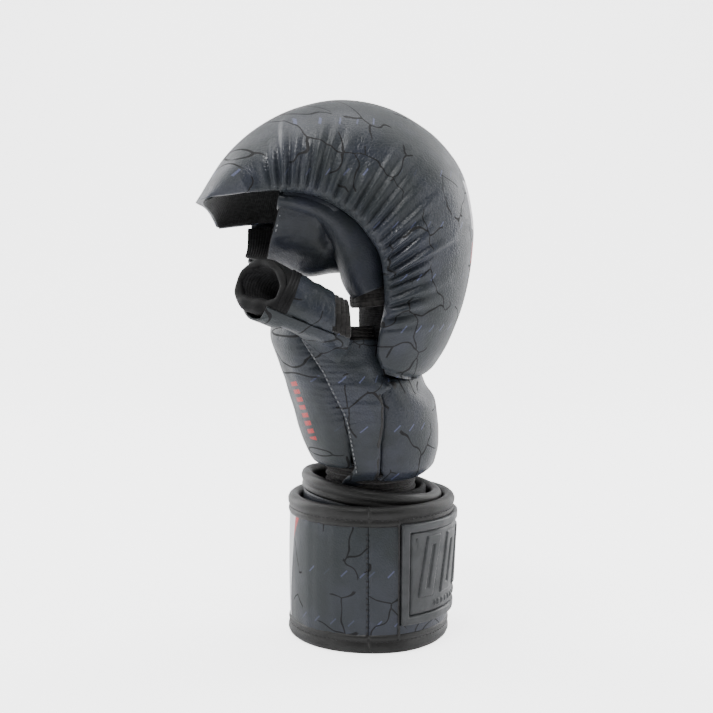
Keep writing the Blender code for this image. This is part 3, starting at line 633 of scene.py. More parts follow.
def binding_outline(height, radius, sign):
    """A corded binding: a round edge, a stitched groove, then a skirt. sign -1 turns it over."""
    shape = [(-2.2, -6.6), (-2.7, -5.2), (-2.6, -3.2), (-3.0, -1.6), (-3.1, 0.3), (-2.5, 1.9),
             (-1.3, 2.9), (0.0, 3.2), (1.3, 2.9), (2.5, 1.9), (3.15, 0.4), (3.05, -1.2),
             (2.55, -2.5), (2.35, -3.1), (2.62, -3.7), (2.92, -4.6), (2.75, -5.6), (2.2, -6.5)]
    grown = radius / 3.2
    return [(out * grown, height + sign * up * grown) for out, up in shape][::int(sign)]


def arc(low, high, step=2.0):
    return np.linspace(low, high, int(abs(high - low) / step) + 2)


# %% The two turns of strap, their bindings and the wrist sleeve
ROUND = arc(0.0, 360.0)
FIXED = arc(FIXED_TURN, 360.0 + STITCH_TURN - 0.03)
LOOSE = arc(STITCH_TURN + 0.03, END_TURN)

sleeve = sweep_cuff("wrist_sleeve_knit", "cuff", (26.0 * MM, 29.7 * MM), ROUND,
                    [(1.5, 4.0), (1.5, 30.0), (1.5, 74.0), (0.0, 75.2), (-1.5, 74.0),
                     (-1.5, 30.0), (-1.5, 4.0), (0.0, 3.0)], LINING)
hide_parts("wrist_sleeve")

inner_turn = sweep_cuff("inner_strap_turn", "cuff", INNER_R, ROUND,
                        strap_outline(3.0, 70.5, 0.1), PRINTED, 5.0 * MM)
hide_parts("strap_inner_turn")
outer_turn = sweep_cuff("outer_strap_turn", "cuff", OUTER_R, FIXED,
                        strap_outline(3.0, 66.0, 0.9), STRAP_LEATHER, wave=0.25 * MM)
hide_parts("strap_outer_turn")
loose_end = sweep_cuff("loose_strap_end", "strap_end", OUTER_R, LOOSE,
                       strap_outline(3.0, 66.0, 0.9), STRAP_LEATHER)
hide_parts("strap_end_panel")

BINDINGS = (
    ("inner_turn_top_binding", "cuff", INNER_R, ROUND, 75.0, 2.9, 1, 5.0 * MM,
     "inner_turn_top_piping"),
    ("inner_turn_bottom_roll", "cuff", INNER_R, ROUND, 3.9, 2.9, -1, 0.0,
     "inner_turn_bottom_piping"),
    ("outer_turn_top_binding", "cuff", OUTER_R, FIXED, 68.0, 3.2, 1, 0.0,
     "outer_turn_top_piping"),
    ("outer_turn_bottom_roll", "cuff", OUTER_R, FIXED, 3.2, 3.2, -1, 0.0,
     "outer_turn_bottom_binding"),
    ("strap_end_top_roll", "strap_end", OUTER_R, LOOSE, 68.0, 3.2, 1, 0.0,
     "strap_end_top_piping"),
    ("strap_end_bottom_roll", "strap_end", OUTER_R, LOOSE, 3.2, 3.2, -1, 0.0,
     "strap_end_bottom_binding"),
)
for name, body, radii, angles, height, radius, sign, tilt, node in BINDINGS:
    made = sweep_cuff(name, body, radii, angles, binding_outline(height, radius, sign), BINDING,
                      tilt)
    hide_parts(node)
print("strap width in mm:", 68.0 + 3.2)


# %% [markdown]
# ## The moulded patch
#
# The patch is a sheet of soft rubber with a raised frame, and a relief in its middle. It is made
# as one fine grid that is bent round the strap: a height function says how thick the rubber is at
# each place. The relief here is a plain row of slanted bars over a row of studs.

# %% Rubber patch
PATCH_TURNS = (-71.0, 52.0)
PATCH_HEIGHTS = (14.0, 62.5)
PATCH_REACH = 40.45 * math.radians(PATCH_TURNS[1] - PATCH_TURNS[0])      # millimetres


def soft_step(distance, softness=0.35):
    """1 inside a shape (negative distance), 0 outside, with a narrow bevel between."""
    return ease(0.5 - distance / softness / 2)


def patch_relief(s, z):
    """Thickness of the rubber in millimetres at s along the patch and z up from its lower edge."""
    height = PATCH_HEIGHTS[1] - PATCH_HEIGHTS[0]
    edge = np.minimum(np.minimum(s, PATCH_REACH - s), np.minimum(z, height - z))
    relief = 1.3 + 1.1 * soft_step(edge - 3.6) - 0.5 * soft_step(np.abs(edge - 4.2) - 0.25)
    relief = relief + 0.45 * soft_step(4.9 - edge, 0.5)
    leaning = s - (z - height / 2) * 0.16
    bar = np.abs((leaning - 8.0) % 15.0 - 7.5)
    tall = np.abs(z - 27.0)
    inside = (s > 7.0) & (s < PATCH_REACH - 7.0)
    outline = np.maximum(bar - 4.6, tall - 14.5)
    slot = np.maximum(np.abs(bar) - 1.1, tall - 10.5)
    relief = relief + inside * (0.75 * soft_step(outline) - 0.5 * soft_step(np.abs(outline) - 0.2)
                                - 0.75 * soft_step(slot))
    stud = np.maximum(np.abs((s - 1.0) % 3.4 - 1.7) - 0.85, np.abs(z - 8.2) - 1.1)
    return relief + ((s > 20.0) & (s < PATCH_REACH - 20.0)) * 0.6 * soft_step(stud, 0.3)


def make_patch():
    turn = np.radians(np.linspace(*PATCH_TURNS, 250))[:, None]
    z = np.linspace(*PATCH_HEIGHTS, 138)[None, :]
    s = np.linspace(0.0, PATCH_REACH, turn.size)[:, None]
    thick = patch_relief(s, z - PATCH_HEIGHTS[0]) * MM
    thick[[0, -1], :] = 0.2 * MM
    thick[:, [0, -1]] = 0.2 * MM
    base = STRAP_HALF + 0.35 * MM
    points = np.stack(((OUTER_R[0] + base + thick) * np.cos(turn),
                       (OUTER_R[1] + base + thick) * np.sin(turn),
                       np.broadcast_to(z * MM, thick.shape)), -1)
    made = grid_object("strap_patch", settle(points), PATCH_RUBBER)
    solid = made.modifiers.new("Thickness", "SOLIDIFY")
    solid.thickness = 0.4 * MM
    solid.offset = -1.0
    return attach(made, "strap_end")


patch = make_patch()
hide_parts("rubber_patch")
print("patch is", round(PATCH_REACH, 1), "by", PATCH_HEIGHTS[1] - PATCH_HEIGHTS[0], "mm")


# %% [markdown]
# ## Stitches and tapes
#
# A machine stitch is a short bar of thread that dips into the material at both ends. The helper
# walks along a seam at an even pitch and lays one small capsule for each stitch, all in one mesh.
# Each capsule is placed from the seam's direction and from the surface normal under it.

# %% Stitch helper
def stitch_line(name, path, normals, material, pitch=2.6, length=1.7, radius=0.28, lift=0.0):
    """Stitches along a path of points with a surface normal at each, all sizes in millimetres."""
    path, normals = np.asarray(path, float), np.asarray(normals, float)
    run = np.concatenate(([0.0], np.cumsum(np.linalg.norm(np.diff(path, axis=0), axis=1))))
    starts = np.arange(0.5 * pitch * MM, run[-1] - 0.5 * length * MM, pitch * MM)

    def along_path(values, at):
        return np.stack([np.interp(at, run, values[:, k]) for k in range(3)], -1)

    sides, rings = 6, (-1.0, -0.72, 0.0, 0.72, 1.0)
    grown = (0.05, 0.75, 1.0, 0.75, 0.05)
    places, faces = [], []
    for start in starts:
        middle = along_path(path, start)
        direction = along_path(path, start + 0.3 * MM) - along_path(path, start - 0.3 * MM)
        direction /= np.linalg.norm(direction)
        up = along_path(normals, start)
        side = np.cross(direction, up)
        side /= np.linalg.norm(side)
        up = np.cross(side, direction)
        first = len(places)
        for ring, size in zip(rings, grown):
            centre = middle + direction * ring * length / 2 * MM
            centre = centre + up * (lift - 0.18 * ring * ring) * MM
            for k in range(sides):
                turn = 2 * math.pi * k / sides
                reach = radius * size * MM
                places.append(centre + side * math.cos(turn) * reach + up * math.sin(turn) * reach)
        for i in range(len(rings) - 1):
            for k in range(sides):
                a, b = first + i * sides + k, first + i * sides + (k + 1) % sides
                faces.append((a, b, b + sides, a + sides))
        faces.append([first + k for k in range(sides)][::-1])
        faces.append([first + (len(rings) - 1) * sides + k for k in range(sides)])
    mesh = bpy.data.meshes.new(name)
    mesh.from_pydata((np.array(places) + ORIGIN).tolist(), [], faces)
    mesh.shade_smooth()
    mesh.materials.append(material)
    made = bpy.data.objects.new(name, mesh)
    bpy.context.scene.collection.objects.link(made)
    return made


# %% Stitches of the strap, and its hook and loop tapes
def cuff_point(turn, out, z, radii=OUTER_R):
    turn = np.radians(turn)
    return settle(np.stack(np.broadcast_arrays((radii[0] + out * MM) * np.cos(turn),
                                               (radii[1] + out * MM) * np.sin(turn), z * MM),
                           -1))


def cuff_normal(turn):
    turn = np.radians(turn)
    flat = np.stack(np.broadcast_arrays(np.cos(turn) / OUTER_R[0], np.sin(turn) / OUTER_R[1], 0.0),
                    -1)
    return flat / np.linalg.norm(flat, axis=-1, keepdims=True)


upright = np.linspace(9.0, 61.0, 40)
line = stitch_line("strap_join_stitches", cuff_point(STITCH_TURN - 0.9, 2.72, upright),
                   cuff_normal(STITCH_TURN + upright * 0), BLACK_THREAD, pitch=2.8, length=1.2,
                   radius=0.46)
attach(line, "cuff")
cord = tube_object("patch_edge_cord",
                   cuff_point(PATCH_TURNS[0] - 1.5, 2.35, np.linspace(6.5, 64.5, 40)), 0.7 * MM,
                   BLACK_THREAD, up=(1, 0, 0), sides=8)
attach(cord, "strap_end")
for name, span, height, body in (("strap_top_stitches", FIXED, 64.9, "cuff"),
                                 ("strap_low_stitches", FIXED, 6.3, "cuff"),
                                 ("loose_top_stitches", LOOSE, 64.9, "strap_end"),
                                 ("loose_low_stitches", LOOSE, 6.3, "strap_end")):
    line = stitch_line(name, cuff_point(span, 2.45, height), cuff_normal(span), BLACK_THREAD)
    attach(line, body)

loops = sweep_cuff("loop_tape", "cuff", INNER_R, arc(PATCH_TURNS[0], END_TURN),
                   [(2.2, 8.5), (2.9, 9.0), (3.0, 34.0), (2.9, 59.5), (2.2, 60.0)], TAPE)
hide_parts("loop_fastener")
hooks = sweep_cuff("hook_tape", "strap_end", OUTER_R, arc(PATCH_TURNS[0], END_TURN - 3.0),
                   [(-3.0, 8.5), (-2.1, 8.5), (-2.1, 60.0), (-3.0, 60.0)], TAPE)
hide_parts("hook_fastener")
end_bar = tube_object("strap_end_bar", cuff_point(END_TURN + 1.2, 0.3, np.linspace(3.0, 68.0, 30)),
                      2.2 * MM, BINDING, up=(1, 0, 0))
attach(end_bar, "strap_end")
print("strap dressed")


# %% [markdown]
# ## The mitt
#
# The mitt is one hood of leather over thick foam. Its leather is longer than the seam it is sewn
# to, so the surplus is gathered into pleats that fan out from the rim and die away towards the
# crown. The form is drawn by two curves in the side view, the crown and the rim, and at each
# station an arch goes from the thumb-side rim over the crown to the other rim. A cloth simulation
# would put the pleats anywhere, so they are laid on as ridges along the arches instead.

# %% Hood form
CROWN = ((26.2, 128.5), (38.5, 149.0), (47.2, 176.0), (49.2, 208.0), (40.5, 236.0),
         (16.5, 257.2), (-13.0, 265.0), (-43.0, 259.0), (-68.0, 242.0), (-86.0, 215.0))
RIM = ((5.2, 136.8), (3.2, 145.0), (4.8, 158.3), (6.4, 169.4), (4.5, 188.9), (-1.1, 199.5),
       (-9.9, 209.3), (-23.7, 217.6), (-37.2, 220.4), (-57.0, 219.5), (-75.3, 217.1))
HALF_WIDTH = ((0.0, 45.5), (0.12, 51.5), (0.35, 55.0), (0.7, 55.0), (0.88, 51.0), (1.0, 42.0))
CROWN_LINE = smooth_curve(CROWN, 400) * MM
RIM_LINE = smooth_curve(RIM, 400) * MM


def at_share(line, share):
    ticks = np.linspace(0.0, 1.0, len(line))
    return np.stack([np.interp(share, ticks, line[:, k]) for k in range(2)], -1)


def rim_at(share, turn):
    """The rim in the side view. The little-finger side hangs lower near the visor."""
    rim = at_share(RIM_LINE, share)
    far = (np.sin(turn) + 1) / 2
    drop = 14.0 * MM * ease((share - 0.45) / 0.35) * far
    reach = 5.0 * MM * np.maximum(0.0, (share - 0.8) / 0.2) * far
    return rim - np.stack((reach, drop), -1)


def hood_form(share, turn, side_inset, crown_inset):
    """Points of the hood: turn runs from -90 degrees at the thumb-side rim to 90 degrees."""
    share, turn = np.broadcast_arrays(share, turn)
    rim = rim_at(share, turn)
    rise = at_share(CROWN_LINE, share) - rim
    height = np.maximum(0.06, 1.0 - crown_inset / np.linalg.norm(rise, axis=-1))
    flat = rim + rise * (height * np.abs(np.cos(turn)) ** 0.85)[..., None]
    across = (read(HALF_WIDTH, share) * MM - side_inset) * power(np.sin(turn), 0.9)
    return np.stack((flat[..., 0], across, flat[..., 1]), -1)


def hood_depth(share):
    """Leather to lining: distance at the sides and at the crown, thinner towards the visor."""
    thin = ease((share - 0.74) / 0.24)
    return (5.4 - 2.6 * thin) * MM, (21.5 - 17.5 * thin) * MM


# %% Pleats
PLEAT = 4.7 * MM


def pleat_height(run, q, seed):
    """Height of the gathered ridges at run along the rim and q away from it."""
    rng = np.random.RandomState(seed)
    wander = np.cumsum(rng.uniform(0.72, 1.28, 80)) - 1.0
    place = np.interp(run / PLEAT, wander, np.arange(80.0))
    k = np.clip(place.astype(int), 0, 78)
    part = place - k
    skew = rng.uniform(0.75, 1.45, 80)[k]
    ridge = (1.0 - np.abs(2.0 * part ** skew - 1.0) ** 1.5) ** 1.2
    size = rng.uniform(1.5, 3.1, 80)[k] * MM
    reach = rng.uniform(24.0, 58.0, 80)[k] * MM
    fade = 1.0 - ease((q / reach - 0.15) / 0.85)
    fine = np.abs(np.sin(place * 2.0 * math.pi + rng.uniform(0, 3, 80)[k]))
    near = np.exp(-q / (10.0 * MM))
    return size * ridge * fade * (0.75 + 0.25 * ease(q / (7.0 * MM))) + 0.55 * MM * fine * near


def gathered(share):
    """How strongly the rim is gathered: most round the fingers, none at the visor's front."""
    return ease((share - 0.10) / 0.10) * (1.0 - ease((share - 0.76) / 0.09))


# %% Hood leather
LIP = 0.05


def make_hood():
    row = np.linspace(-LIP, 1.0 + LIP, 380)[:, None]
    column = np.linspace(-1.0 - LIP, 1.0 + LIP, 176)[None, :]
    share = np.clip(row, 0.0, 1.0)
    turn = np.clip(column, -1.0, 1.0) * math.pi / 2
    past_row = np.maximum(np.maximum(-row, row - 1.0), 0.0) / LIP
    past_column = np.maximum(np.abs(column) - 1.0, 0.0) / LIP
    depth = np.maximum(past_row, past_column)
    side, crown = hood_depth(share)
    part = 1.0 - np.clip(share / 0.035, 0.0, 1.0)
    rounding = 6.0 * MM * (1.0 - np.sqrt(1.0 - part ** 2))
    points = hood_form(share, turn, np.maximum(side * depth, rounding * 0.35),
                       np.maximum(crown * depth, rounding))

    flat_share, flat_turn = np.broadcast_arrays(share, turn)
    rise = at_share(CROWN_LINE, flat_share) - rim_at(flat_share, flat_turn)
    rise = rise / np.linalg.norm(rise, axis=-1, keepdims=True)
    roll = 1.7 * MM * np.sin(math.pi * np.minimum(past_column, 1.0)) * (1.0 - 0.6 * (share > 0.78))
    points[..., 0] -= rise[..., 0] * roll
    points[..., 2] -= rise[..., 1] * roll
    end = 2.0 * MM * np.sin(math.pi * past_row) * (past_column <= 0)
    points[..., 2] -= end * (share < 0.5)
    points[..., 0] -= end * (share > 0.5) * 0.6

    normals = grid_normals(points)
    if normals[190, 88, 2] < 0:
        normals = -normals
    steps = np.linalg.norm(np.diff(points, axis=1), axis=2) * (np.abs(column[:, 1:]) <= 1.0)
    run = np.concatenate((np.zeros((len(row), 1)), np.cumsum(steps, axis=1)), axis=1)
    q_near, q_far = run, run[:, -1:] - run
    rim_length = np.linalg.norm(np.diff(RIM_LINE, axis=0), axis=1).sum()
    along = np.broadcast_to(share * rim_length, run.shape)
    on_side = np.abs(column) <= 1.0
    lift = np.where(q_near < q_far, pleat_height(along, q_near, 5), pleat_height(along, q_far, 9))
    q = np.minimum(q_near, q_far)
    lift = lift * gathered(share) - 1.1 * MM * np.exp(-q / (1.8 * MM)) * gathered(share)
    lift = lift + 0.5 * MM * soft_noise(points, 28.0, 3.0) * ease(q / (15.0 * MM))
    points = points + normals * (lift * on_side * (past_row <= 0))[..., None]
    return grid_object("mitt_hood", points, HOOD_LEATHER, flip=True)


hood = make_hood()
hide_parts("mitt_cover", "mitt_foam")
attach(hood, "mitt")
print("hood faces:", len(hood.data.polygons))


# %% Hood lining
def make_hood_lining():
    share = np.linspace(0.07, 1.0, 86)[:, None]
    turn = np.linspace(-math.pi / 2, math.pi / 2, 60)[None, :]
    side, crown = hood_depth(share)
    points = hood_form(share, turn, side, crown)
    return grid_object("mitt_hood_lining", points, VISOR_KNIT, thickness=0.8 * MM, flip=False)


hood_lining = make_hood_lining()
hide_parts("mitt_lining")
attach(hood_lining, "mitt")


# %% [markdown]
# ## The hand
#
# The hand is a lining tube with a thick pad on the back, another on the palm, and a printed panel
# on each side. The same section that shaped the solids is used here: at each height it gives the
# outer surface all the way round, so the pads and the panels meet along their seams.

# %% Hand form
LINING_ROWS = ((71.0, -1.0, 20.5, 26.2), (85.0, -1.0, 20.0, 30.5), (110.0, -4.0, 16.5, 37.0),
               (130.0, -10.0, 13.0, 40.5), (150.0, -14.0, 13.5, 41.2))
PALM_FACE = ((89.5, -32.5), (97.0, -35.0), (114.0, -39.5), (133.5, -46.0), (150.0, -52.0),
             (157.0, -53.0))
BACK_FACE = ((80.0, 26.2), (86.0, 31.5), (95.0, 33.7), (105.0, 33.6), (119.0, 31.7),
             (125.5, 26.2))
PALM_SEAM = ((80.0, 99.0), (116.0, 100.0), (135.0, 106.0), (157.0, 121.0))


def lining_form(z, angle, grow=0.0):
    """The outside of the lining tube; z and grow in millimetres, angle in degrees."""
    turn = np.radians(angle)
    z, turn = np.broadcast_arrays(z, turn)
    x = read(LINING_ROWS, z, 1) + (read(LINING_ROWS, z, 2) + grow) * np.cos(turn)
    return np.stack((x, (read(LINING_ROWS, z, 3) + grow) * np.sin(turn), z), -1) * MM


def hand_form(z, angle, inset=0.0):
    """The hand's outer surface; 0 degrees is the back of the hand, -90 the thumb side."""
    turn = np.radians(angle)
    z, turn = np.broadcast_arrays(z, turn)
    centre = read(LINING_ROWS, z, 1)
    half_width = read(LINING_ROWS, z, 3) + 4.4 - inset
    back = np.where(z > 125.5, 12.0 + 14.2 * ease((133.0 - z) / 7.5), read(BACK_FACE, z))
    reach = np.where(np.cos(turn) < 0, centre - read(PALM_FACE, z), back - centre) - inset
    return np.stack((centre + reach * power(np.cos(turn), 0.85),
                     half_width * power(np.sin(turn), 0.85), z), -1) * MM


# %% [markdown]
# ### Pads that are inflated
#
# Each pad starts as a thin closed cushion between its outer face and the lining. It is remeshed
# into even small cells, filled with pressure in a cloth simulation, and held back by a cap on how
# far a point may move, so it swells like stuffed leather and stays tight at its edges.

# %% Inflate a closed cushion
def closed_cushion(name, outer, inner, material):
    """A closed mesh between two grids of points that share their outline."""
    rows, across = outer.shape[:2]
    places = np.concatenate((outer.reshape(-1, 3), inner.reshape(-1, 3))) + ORIGIN
    faces = []
    base = rows * across
    for i in range(rows - 1):
        for j in range(across - 1):
            a = i * across + j
            faces.append((a, a + 1, a + across + 1, a + across))
            faces.append((base + a, base + a + across, base + a + across + 1, base + a + 1))
    edge = [j for j in range(across)] + [i * across + across - 1 for i in range(1, rows)]
    edge += [(rows - 1) * across + j for j in range(across - 2, -1, -1)]
    edge += [i * across for i in range(rows - 2, 0, -1)]
    for a, b in zip(edge, edge[1:] + edge[:1]):
        faces.append((b, a, base + a, base + b))
    mesh = bpy.data.meshes.new(name)
    mesh.from_pydata(places.tolist(), [], faces)
    mesh.materials.append(material)
    made = bpy.data.objects.new(name, mesh)
    bpy.context.scene.collection.objects.link(made)
    return made


def apply_modifiers(made):
    bpy.context.view_layer.update()
    ready = made.evaluated_get(bpy.context.evaluated_depsgraph_get())
    mesh = bpy.data.meshes.new_from_object(ready)
    made.modifiers.clear()
    made.data = mesh


def inflate(made, cell, cap, pressure=4.0, frames=20):
    """Remeshes a closed cushion and gives its swollen places. Sizes in millimetres."""
    remesh = made.modifiers.new("Remesh", "REMESH")
    remesh.mode = "VOXEL"
    remesh.voxel_size = cell * MM
    smooth = made.modifiers.new("Smooth", "SMOOTH")
    smooth.factor, smooth.iterations = 0.5, 6
    apply_modifiers(made)
    start = np.array([v.co for v in made.data.vertices])
    cloth = made.modifiers.new("Cloth", "CLOTH")
    cloth.settings.use_pressure = True
    cloth.settings.uniform_pressure_force = pressure
    cloth.settings.effector_weights.gravity = 0.0
    cloth.settings.tension_stiffness = 25.0
    cloth.settings.compression_stiffness = 25.0
    cloth.settings.bending_stiffness = 2.0
    for frame_number in range(1, frames + 1):
        bpy.context.scene.frame_set(frame_number)
    apply_modifiers(made)
    bpy.context.scene.frame_set(1)
    ended = np.array([v.co for v in made.data.vertices])
    move = ended - start
    far = np.linalg.norm(move, axis=1, keepdims=True)
    move *= np.minimum(1.0, cap * MM / np.maximum(far, 1e-9))
    return start + move


def set_places(made, places):
    made.data.vertices.foreach_set("co", places.astype(np.float32).ravel())
    made.data.update()


def subdivide(made, levels=1):
    smooth = made.modifiers.new("Subdivision", "SUBSURF")
    smooth.levels = smooth.render_levels = levels
    apply_modifiers(made)
    made.data.shade_smooth()


def mesh_normals(made):
    values = np.zeros(len(made.data.vertices) * 3)
    made.data.vertices.foreach_get("normal", values)
    return values.reshape(-1, 3)


# %% Back pad
BACK_SEAM = ((80.0, 87.0), (100.0, 84.0), (122.0, 75.5), (130.0, 74.0))
BACK_PAD_HEIGHTS = (80.5, 132.2)
KNUCKLE_LINE = 125.4         # above this the back pad keeps its width
SEWN_MARGIN = (-1.0, 0.8)    # where a pad would thin out to nothing, past its two ends


def crowned(z, low, high, side, edge):
    """0 on a pad's outline and 1 well inside it; side is the distance in from its long edges."""
    up = np.minimum(z - low, high - z) / edge
    return np.clip(np.minimum(up, side), 0.0, 1.0) ** 0.5


def make_back_pad():
    z = np.linspace(*BACK_PAD_HEIGHTS, 39)[:, None]
    share = np.linspace(-1.0, 1.0, 64)[None, :]
    angle = share * (read(BACK_SEAM, z) + 1.0)
    low, high = np.array(BACK_PAD_HEIGHTS) + SEWN_MARGIN
    full = crowned(z, low, high, (1.0 - np.abs(share)) / 0.17, 6.0)
    outer = hand_form(np.minimum(z, KNUCKLE_LINE), angle, 4.4 - 3.8 * full)
    outer[..., 2] = np.broadcast_to(z * MM, outer.shape[:2])
    inner = lining_form(z, angle, 0.7)
    pad = closed_cushion("back_pad", outer, inner, PRINTED)
    set_places(pad, inflate(pad, 1.8, 2.0))
    subdivide(pad)
    return pad


back_pad = make_back_pad()
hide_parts("dorsal_pad_cover", "dorsal_pad_foam")
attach(back_pad, "hand")
print("back pad faces:", len(back_pad.data.polygons))


# %% Palm pad, with wrinkles that run in from its sewn edges
PALM_PAD_HEIGHTS = (86.6, 156.5)
CREASE_LINE = ((94.0, -8.0), (101.0, -7.0), (116.0, -12.3), (153.0, -34.0))
CREASE_PITCH = 3.6 * MM
CREASE_REACH = 7.5 * MM


def make_palm_pad():
    z = np.linspace(*PALM_PAD_HEIGHTS, 48)[:, None]
    share = np.linspace(-1.0, 1.0, 60)[None, :]
    seam = read(PALM_SEAM, z) + 1.0
    angle = 180.0 + share * (180.0 - seam)
    up = np.minimum(z - PALM_PAD_HEIGHTS[0] + 1.0, PALM_PAD_HEIGHTS[1] + 1.0 - z) / 9.0
    side = (1.0 - np.abs(share)) / 0.22
    full = np.clip(np.minimum(up, side), 0.0, 1.0) ** 0.5
    outer = hand_form(z, angle, 4.2 - 3.1 * full)
    inner = lining_form(z, angle, 0.8)
    pad = closed_cushion("palm_pad", outer, inner, PALM_LEATHER)
    set_places(pad, inflate(pad, 2.0, 2.2))
    subdivide(pad)
    places = np.array([v.co for v in pad.data.vertices]) - ORIGIN
    seam_x = read(CREASE_LINE, places[:, 2] / MM) * MM
    near = np.exp(-np.abs(places[:, 0] - seam_x) / CREASE_REACH) * (np.abs(places[:, 1]) > 0.02)
    rows = places[:, 2] / CREASE_PITCH + 0.9 * soft_noise(places, 45.0, 8.0)
    crease = np.abs(np.sin(math.pi * rows)) ** 0.7 - 0.7
    band = ease((places[:, 2] - 0.100) / 0.012) * ease((0.156 - places[:, 2]) / 0.010)
    wide = 0.45 * MM * soft_noise(places, 60.0, 2.0)
    lift = 0.9 * MM * crease * near * band + wide
    set_places(pad, places + ORIGIN + mesh_normals(pad) * lift[:, None])
    return pad


palm_pad = make_palm_pad()
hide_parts("palm_pad_cover", "palm_pad_foam")
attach(palm_pad, "hand")
print("palm pad faces:", len(palm_pad.data.polygons))


# %% [markdown]
# ### Side panels, seams and the lining
#
# A side panel lies between the back pad's black piping and the stitched seam of the palm pad. It
# is one sheet with a little fullness, drawn in at both seams. The stitches of the palm seam lie
# in the groove.

# %% Side panels and their seams
PANEL_HEIGHTS = (77.2, 150.6)
PIPING_HEIGHTS = (77.6, 124.5)
PALM_STITCH_HEIGHTS = (86.0, 149.0)
WRIST_DRAW = (88.0, 12.0, 5.5)          # from this height, over this, by this much inwards


def side_sheet(side, sign):
    z = np.linspace(*PANEL_HEIGHTS, 92)[:, None]
    share = np.linspace(0.0, 1.0, 44)[None, :]
    start = read(BACK_SEAM, z) - 1.5 - 26.0 * ease((z - 124.0) / 7.0)
    end = read(PALM_SEAM, z) + 2.0 + 20.0 * ease((89.0 - z) / 12.0)
    angle = sign * (start + share * (end - start))
    seam = np.exp(-share * 11.0) + np.exp(-(1.0 - share) * 11.0)
    top, over, inwards = WRIST_DRAW
    low = inwards * ease((top - z) / over)
    points = hand_form(np.maximum(z, BACK_PAD_HEIGHTS[0]), angle, 1.3 * seam - 0.35 + low)
    points[..., 2] = np.broadcast_to(z * MM, points.shape[:2])
    wrinkle = 0.42 * MM * soft_noise(points * np.array((1.0, 1.0, 2.2)), 70.0, 4.0 + sign)
    gather = 0.5 * MM * np.sin(z * 2.3) * np.exp(-(1.0 - share) * 7.0)
    points[..., 1] += sign * (wrinkle + gather)
    sheet = grid_object(side + "_panel_leather", points, PRINTED, thickness=1.1 * MM,
                        flip=sign < 0)
    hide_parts(side + "_panel")
    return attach(sheet, "hand")


def side_seams(side, sign):
    z = np.linspace(*PIPING_HEIGHTS, 60)
    top, over, inwards = WRIST_DRAW
    path = hand_form(np.maximum(z, BACK_PAD_HEIGHTS[0]), sign * (read(BACK_SEAM, z) + 0.4), 0.9)
    drawn = hand_form(top, sign * 86.0) - hand_form(top, sign * 86.0, inwards)
    path -= drawn * ease((top - z) / over)[:, None]
    path[:, 2] = z * MM
    piping = tube_object(side + "_piping", path, 1.0 * MM, BLACK_THREAD, up=(1, 0, 0), sides=10)
    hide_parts(side + "_seam_piping")
    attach(piping, "hand")
    z = np.linspace(*PALM_STITCH_HEIGHTS, 120)
    angle = sign * (read(PALM_SEAM, z) + 0.4)
    path = hand_form(z, angle, 1.1)
    out = hand_form(z, angle, -4.0) - path
    out /= np.linalg.norm(out, axis=1, keepdims=True)
    line = stitch_line(side + "_seam_stitches", path, out, PALE_THREAD, pitch=2.3, length=1.5,
                       radius=0.30, lift=1.15)
    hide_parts(side + "_seam_thread")
    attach(line, "hand")


for side, sign in (("thumb_side", -1.0), ("little_side", 1.0)):
    side_sheet(side, sign)
    side_seams(side, sign)


# %% Lining tube, its gathered wrist and the elastic of the palm opening
def ring_sheet(name, z, form, material, ribs=0.0, pitch=1.6, thickness=0.9):
    """A sleeve round the hand whose surface is gathered into ribs across its height."""
    angle = np.linspace(0.0, 360.0, 220, endpoint=False)[None, :]
    points = form(z[:, None], angle)
    wave = ribs * np.sin(2 * math.pi * z[:, None] / pitch + 1.2 * soft_noise(points, 55.0, 6.0))
    points[..., :2] *= (1.0 + wave * MM / np.linalg.norm(points[..., :2], axis=-1))[..., None]
    made = grid_object(name, points, material, closed=True, thickness=thickness * MM)
    weld = made.modifiers.new("Join", "WELD")
    weld.merge_threshold = 0.00001
    return made


lining = ring_sheet("hand_lining_knit", np.linspace(72.0, 151.0, 60), lining_form, LINING)
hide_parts("hand_lining")
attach(lining, "hand")


def opening_form(z, angle):
    """Full width under the thumb, and cut lower on the little-finger side."""
    points = lining_form(np.minimum(z, 150.0), angle, 1.2)
    wide = hand_form(150.0 + 0.0 * z, angle, 0.9 + 0.3 * (z - 150.0))
    at_thumb = ease((45.0 - np.abs((angle - 100.0) % 360.0 - 180.0)) / 25.0)[..., None]
    points = points + (wide - points) * at_thumb
    low = 6.6 * MM * ease((points[..., 1] / MM + 12.0) / 30.0)
    points[..., 2] = z * MM - low
    return points


opening = ring_sheet("palm_opening_rib", np.linspace(149.6, 156.8, 40), opening_form, ELASTIC,
                     0.45, 1.75, 1.6)
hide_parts("palm_opening_elastic")
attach(opening, "hand")


def wrist_form(z, angle):
    """From inside the strap's top out to under the pads, with folds round the wrist."""
    points = lining_form(np.clip(z, 71.0, 85.0), angle, 1.6)
    points[..., 2] = np.broadcast_to(z * MM, points.shape[:2])
    return points


wrist = ring_sheet("wrist_elastic", np.linspace(66.0, 90.0, 70), wrist_form, ELASTIC, 0.8, 3.2)
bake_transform(wrist)


# %% Gusset of dark knit that stands in for the notch's shade, and roll of the knuckle fold
NOTCH_SHADE_GUSSET_INSET = (8.5, 9.0)    # how far inside the hand and inside the hood it lies


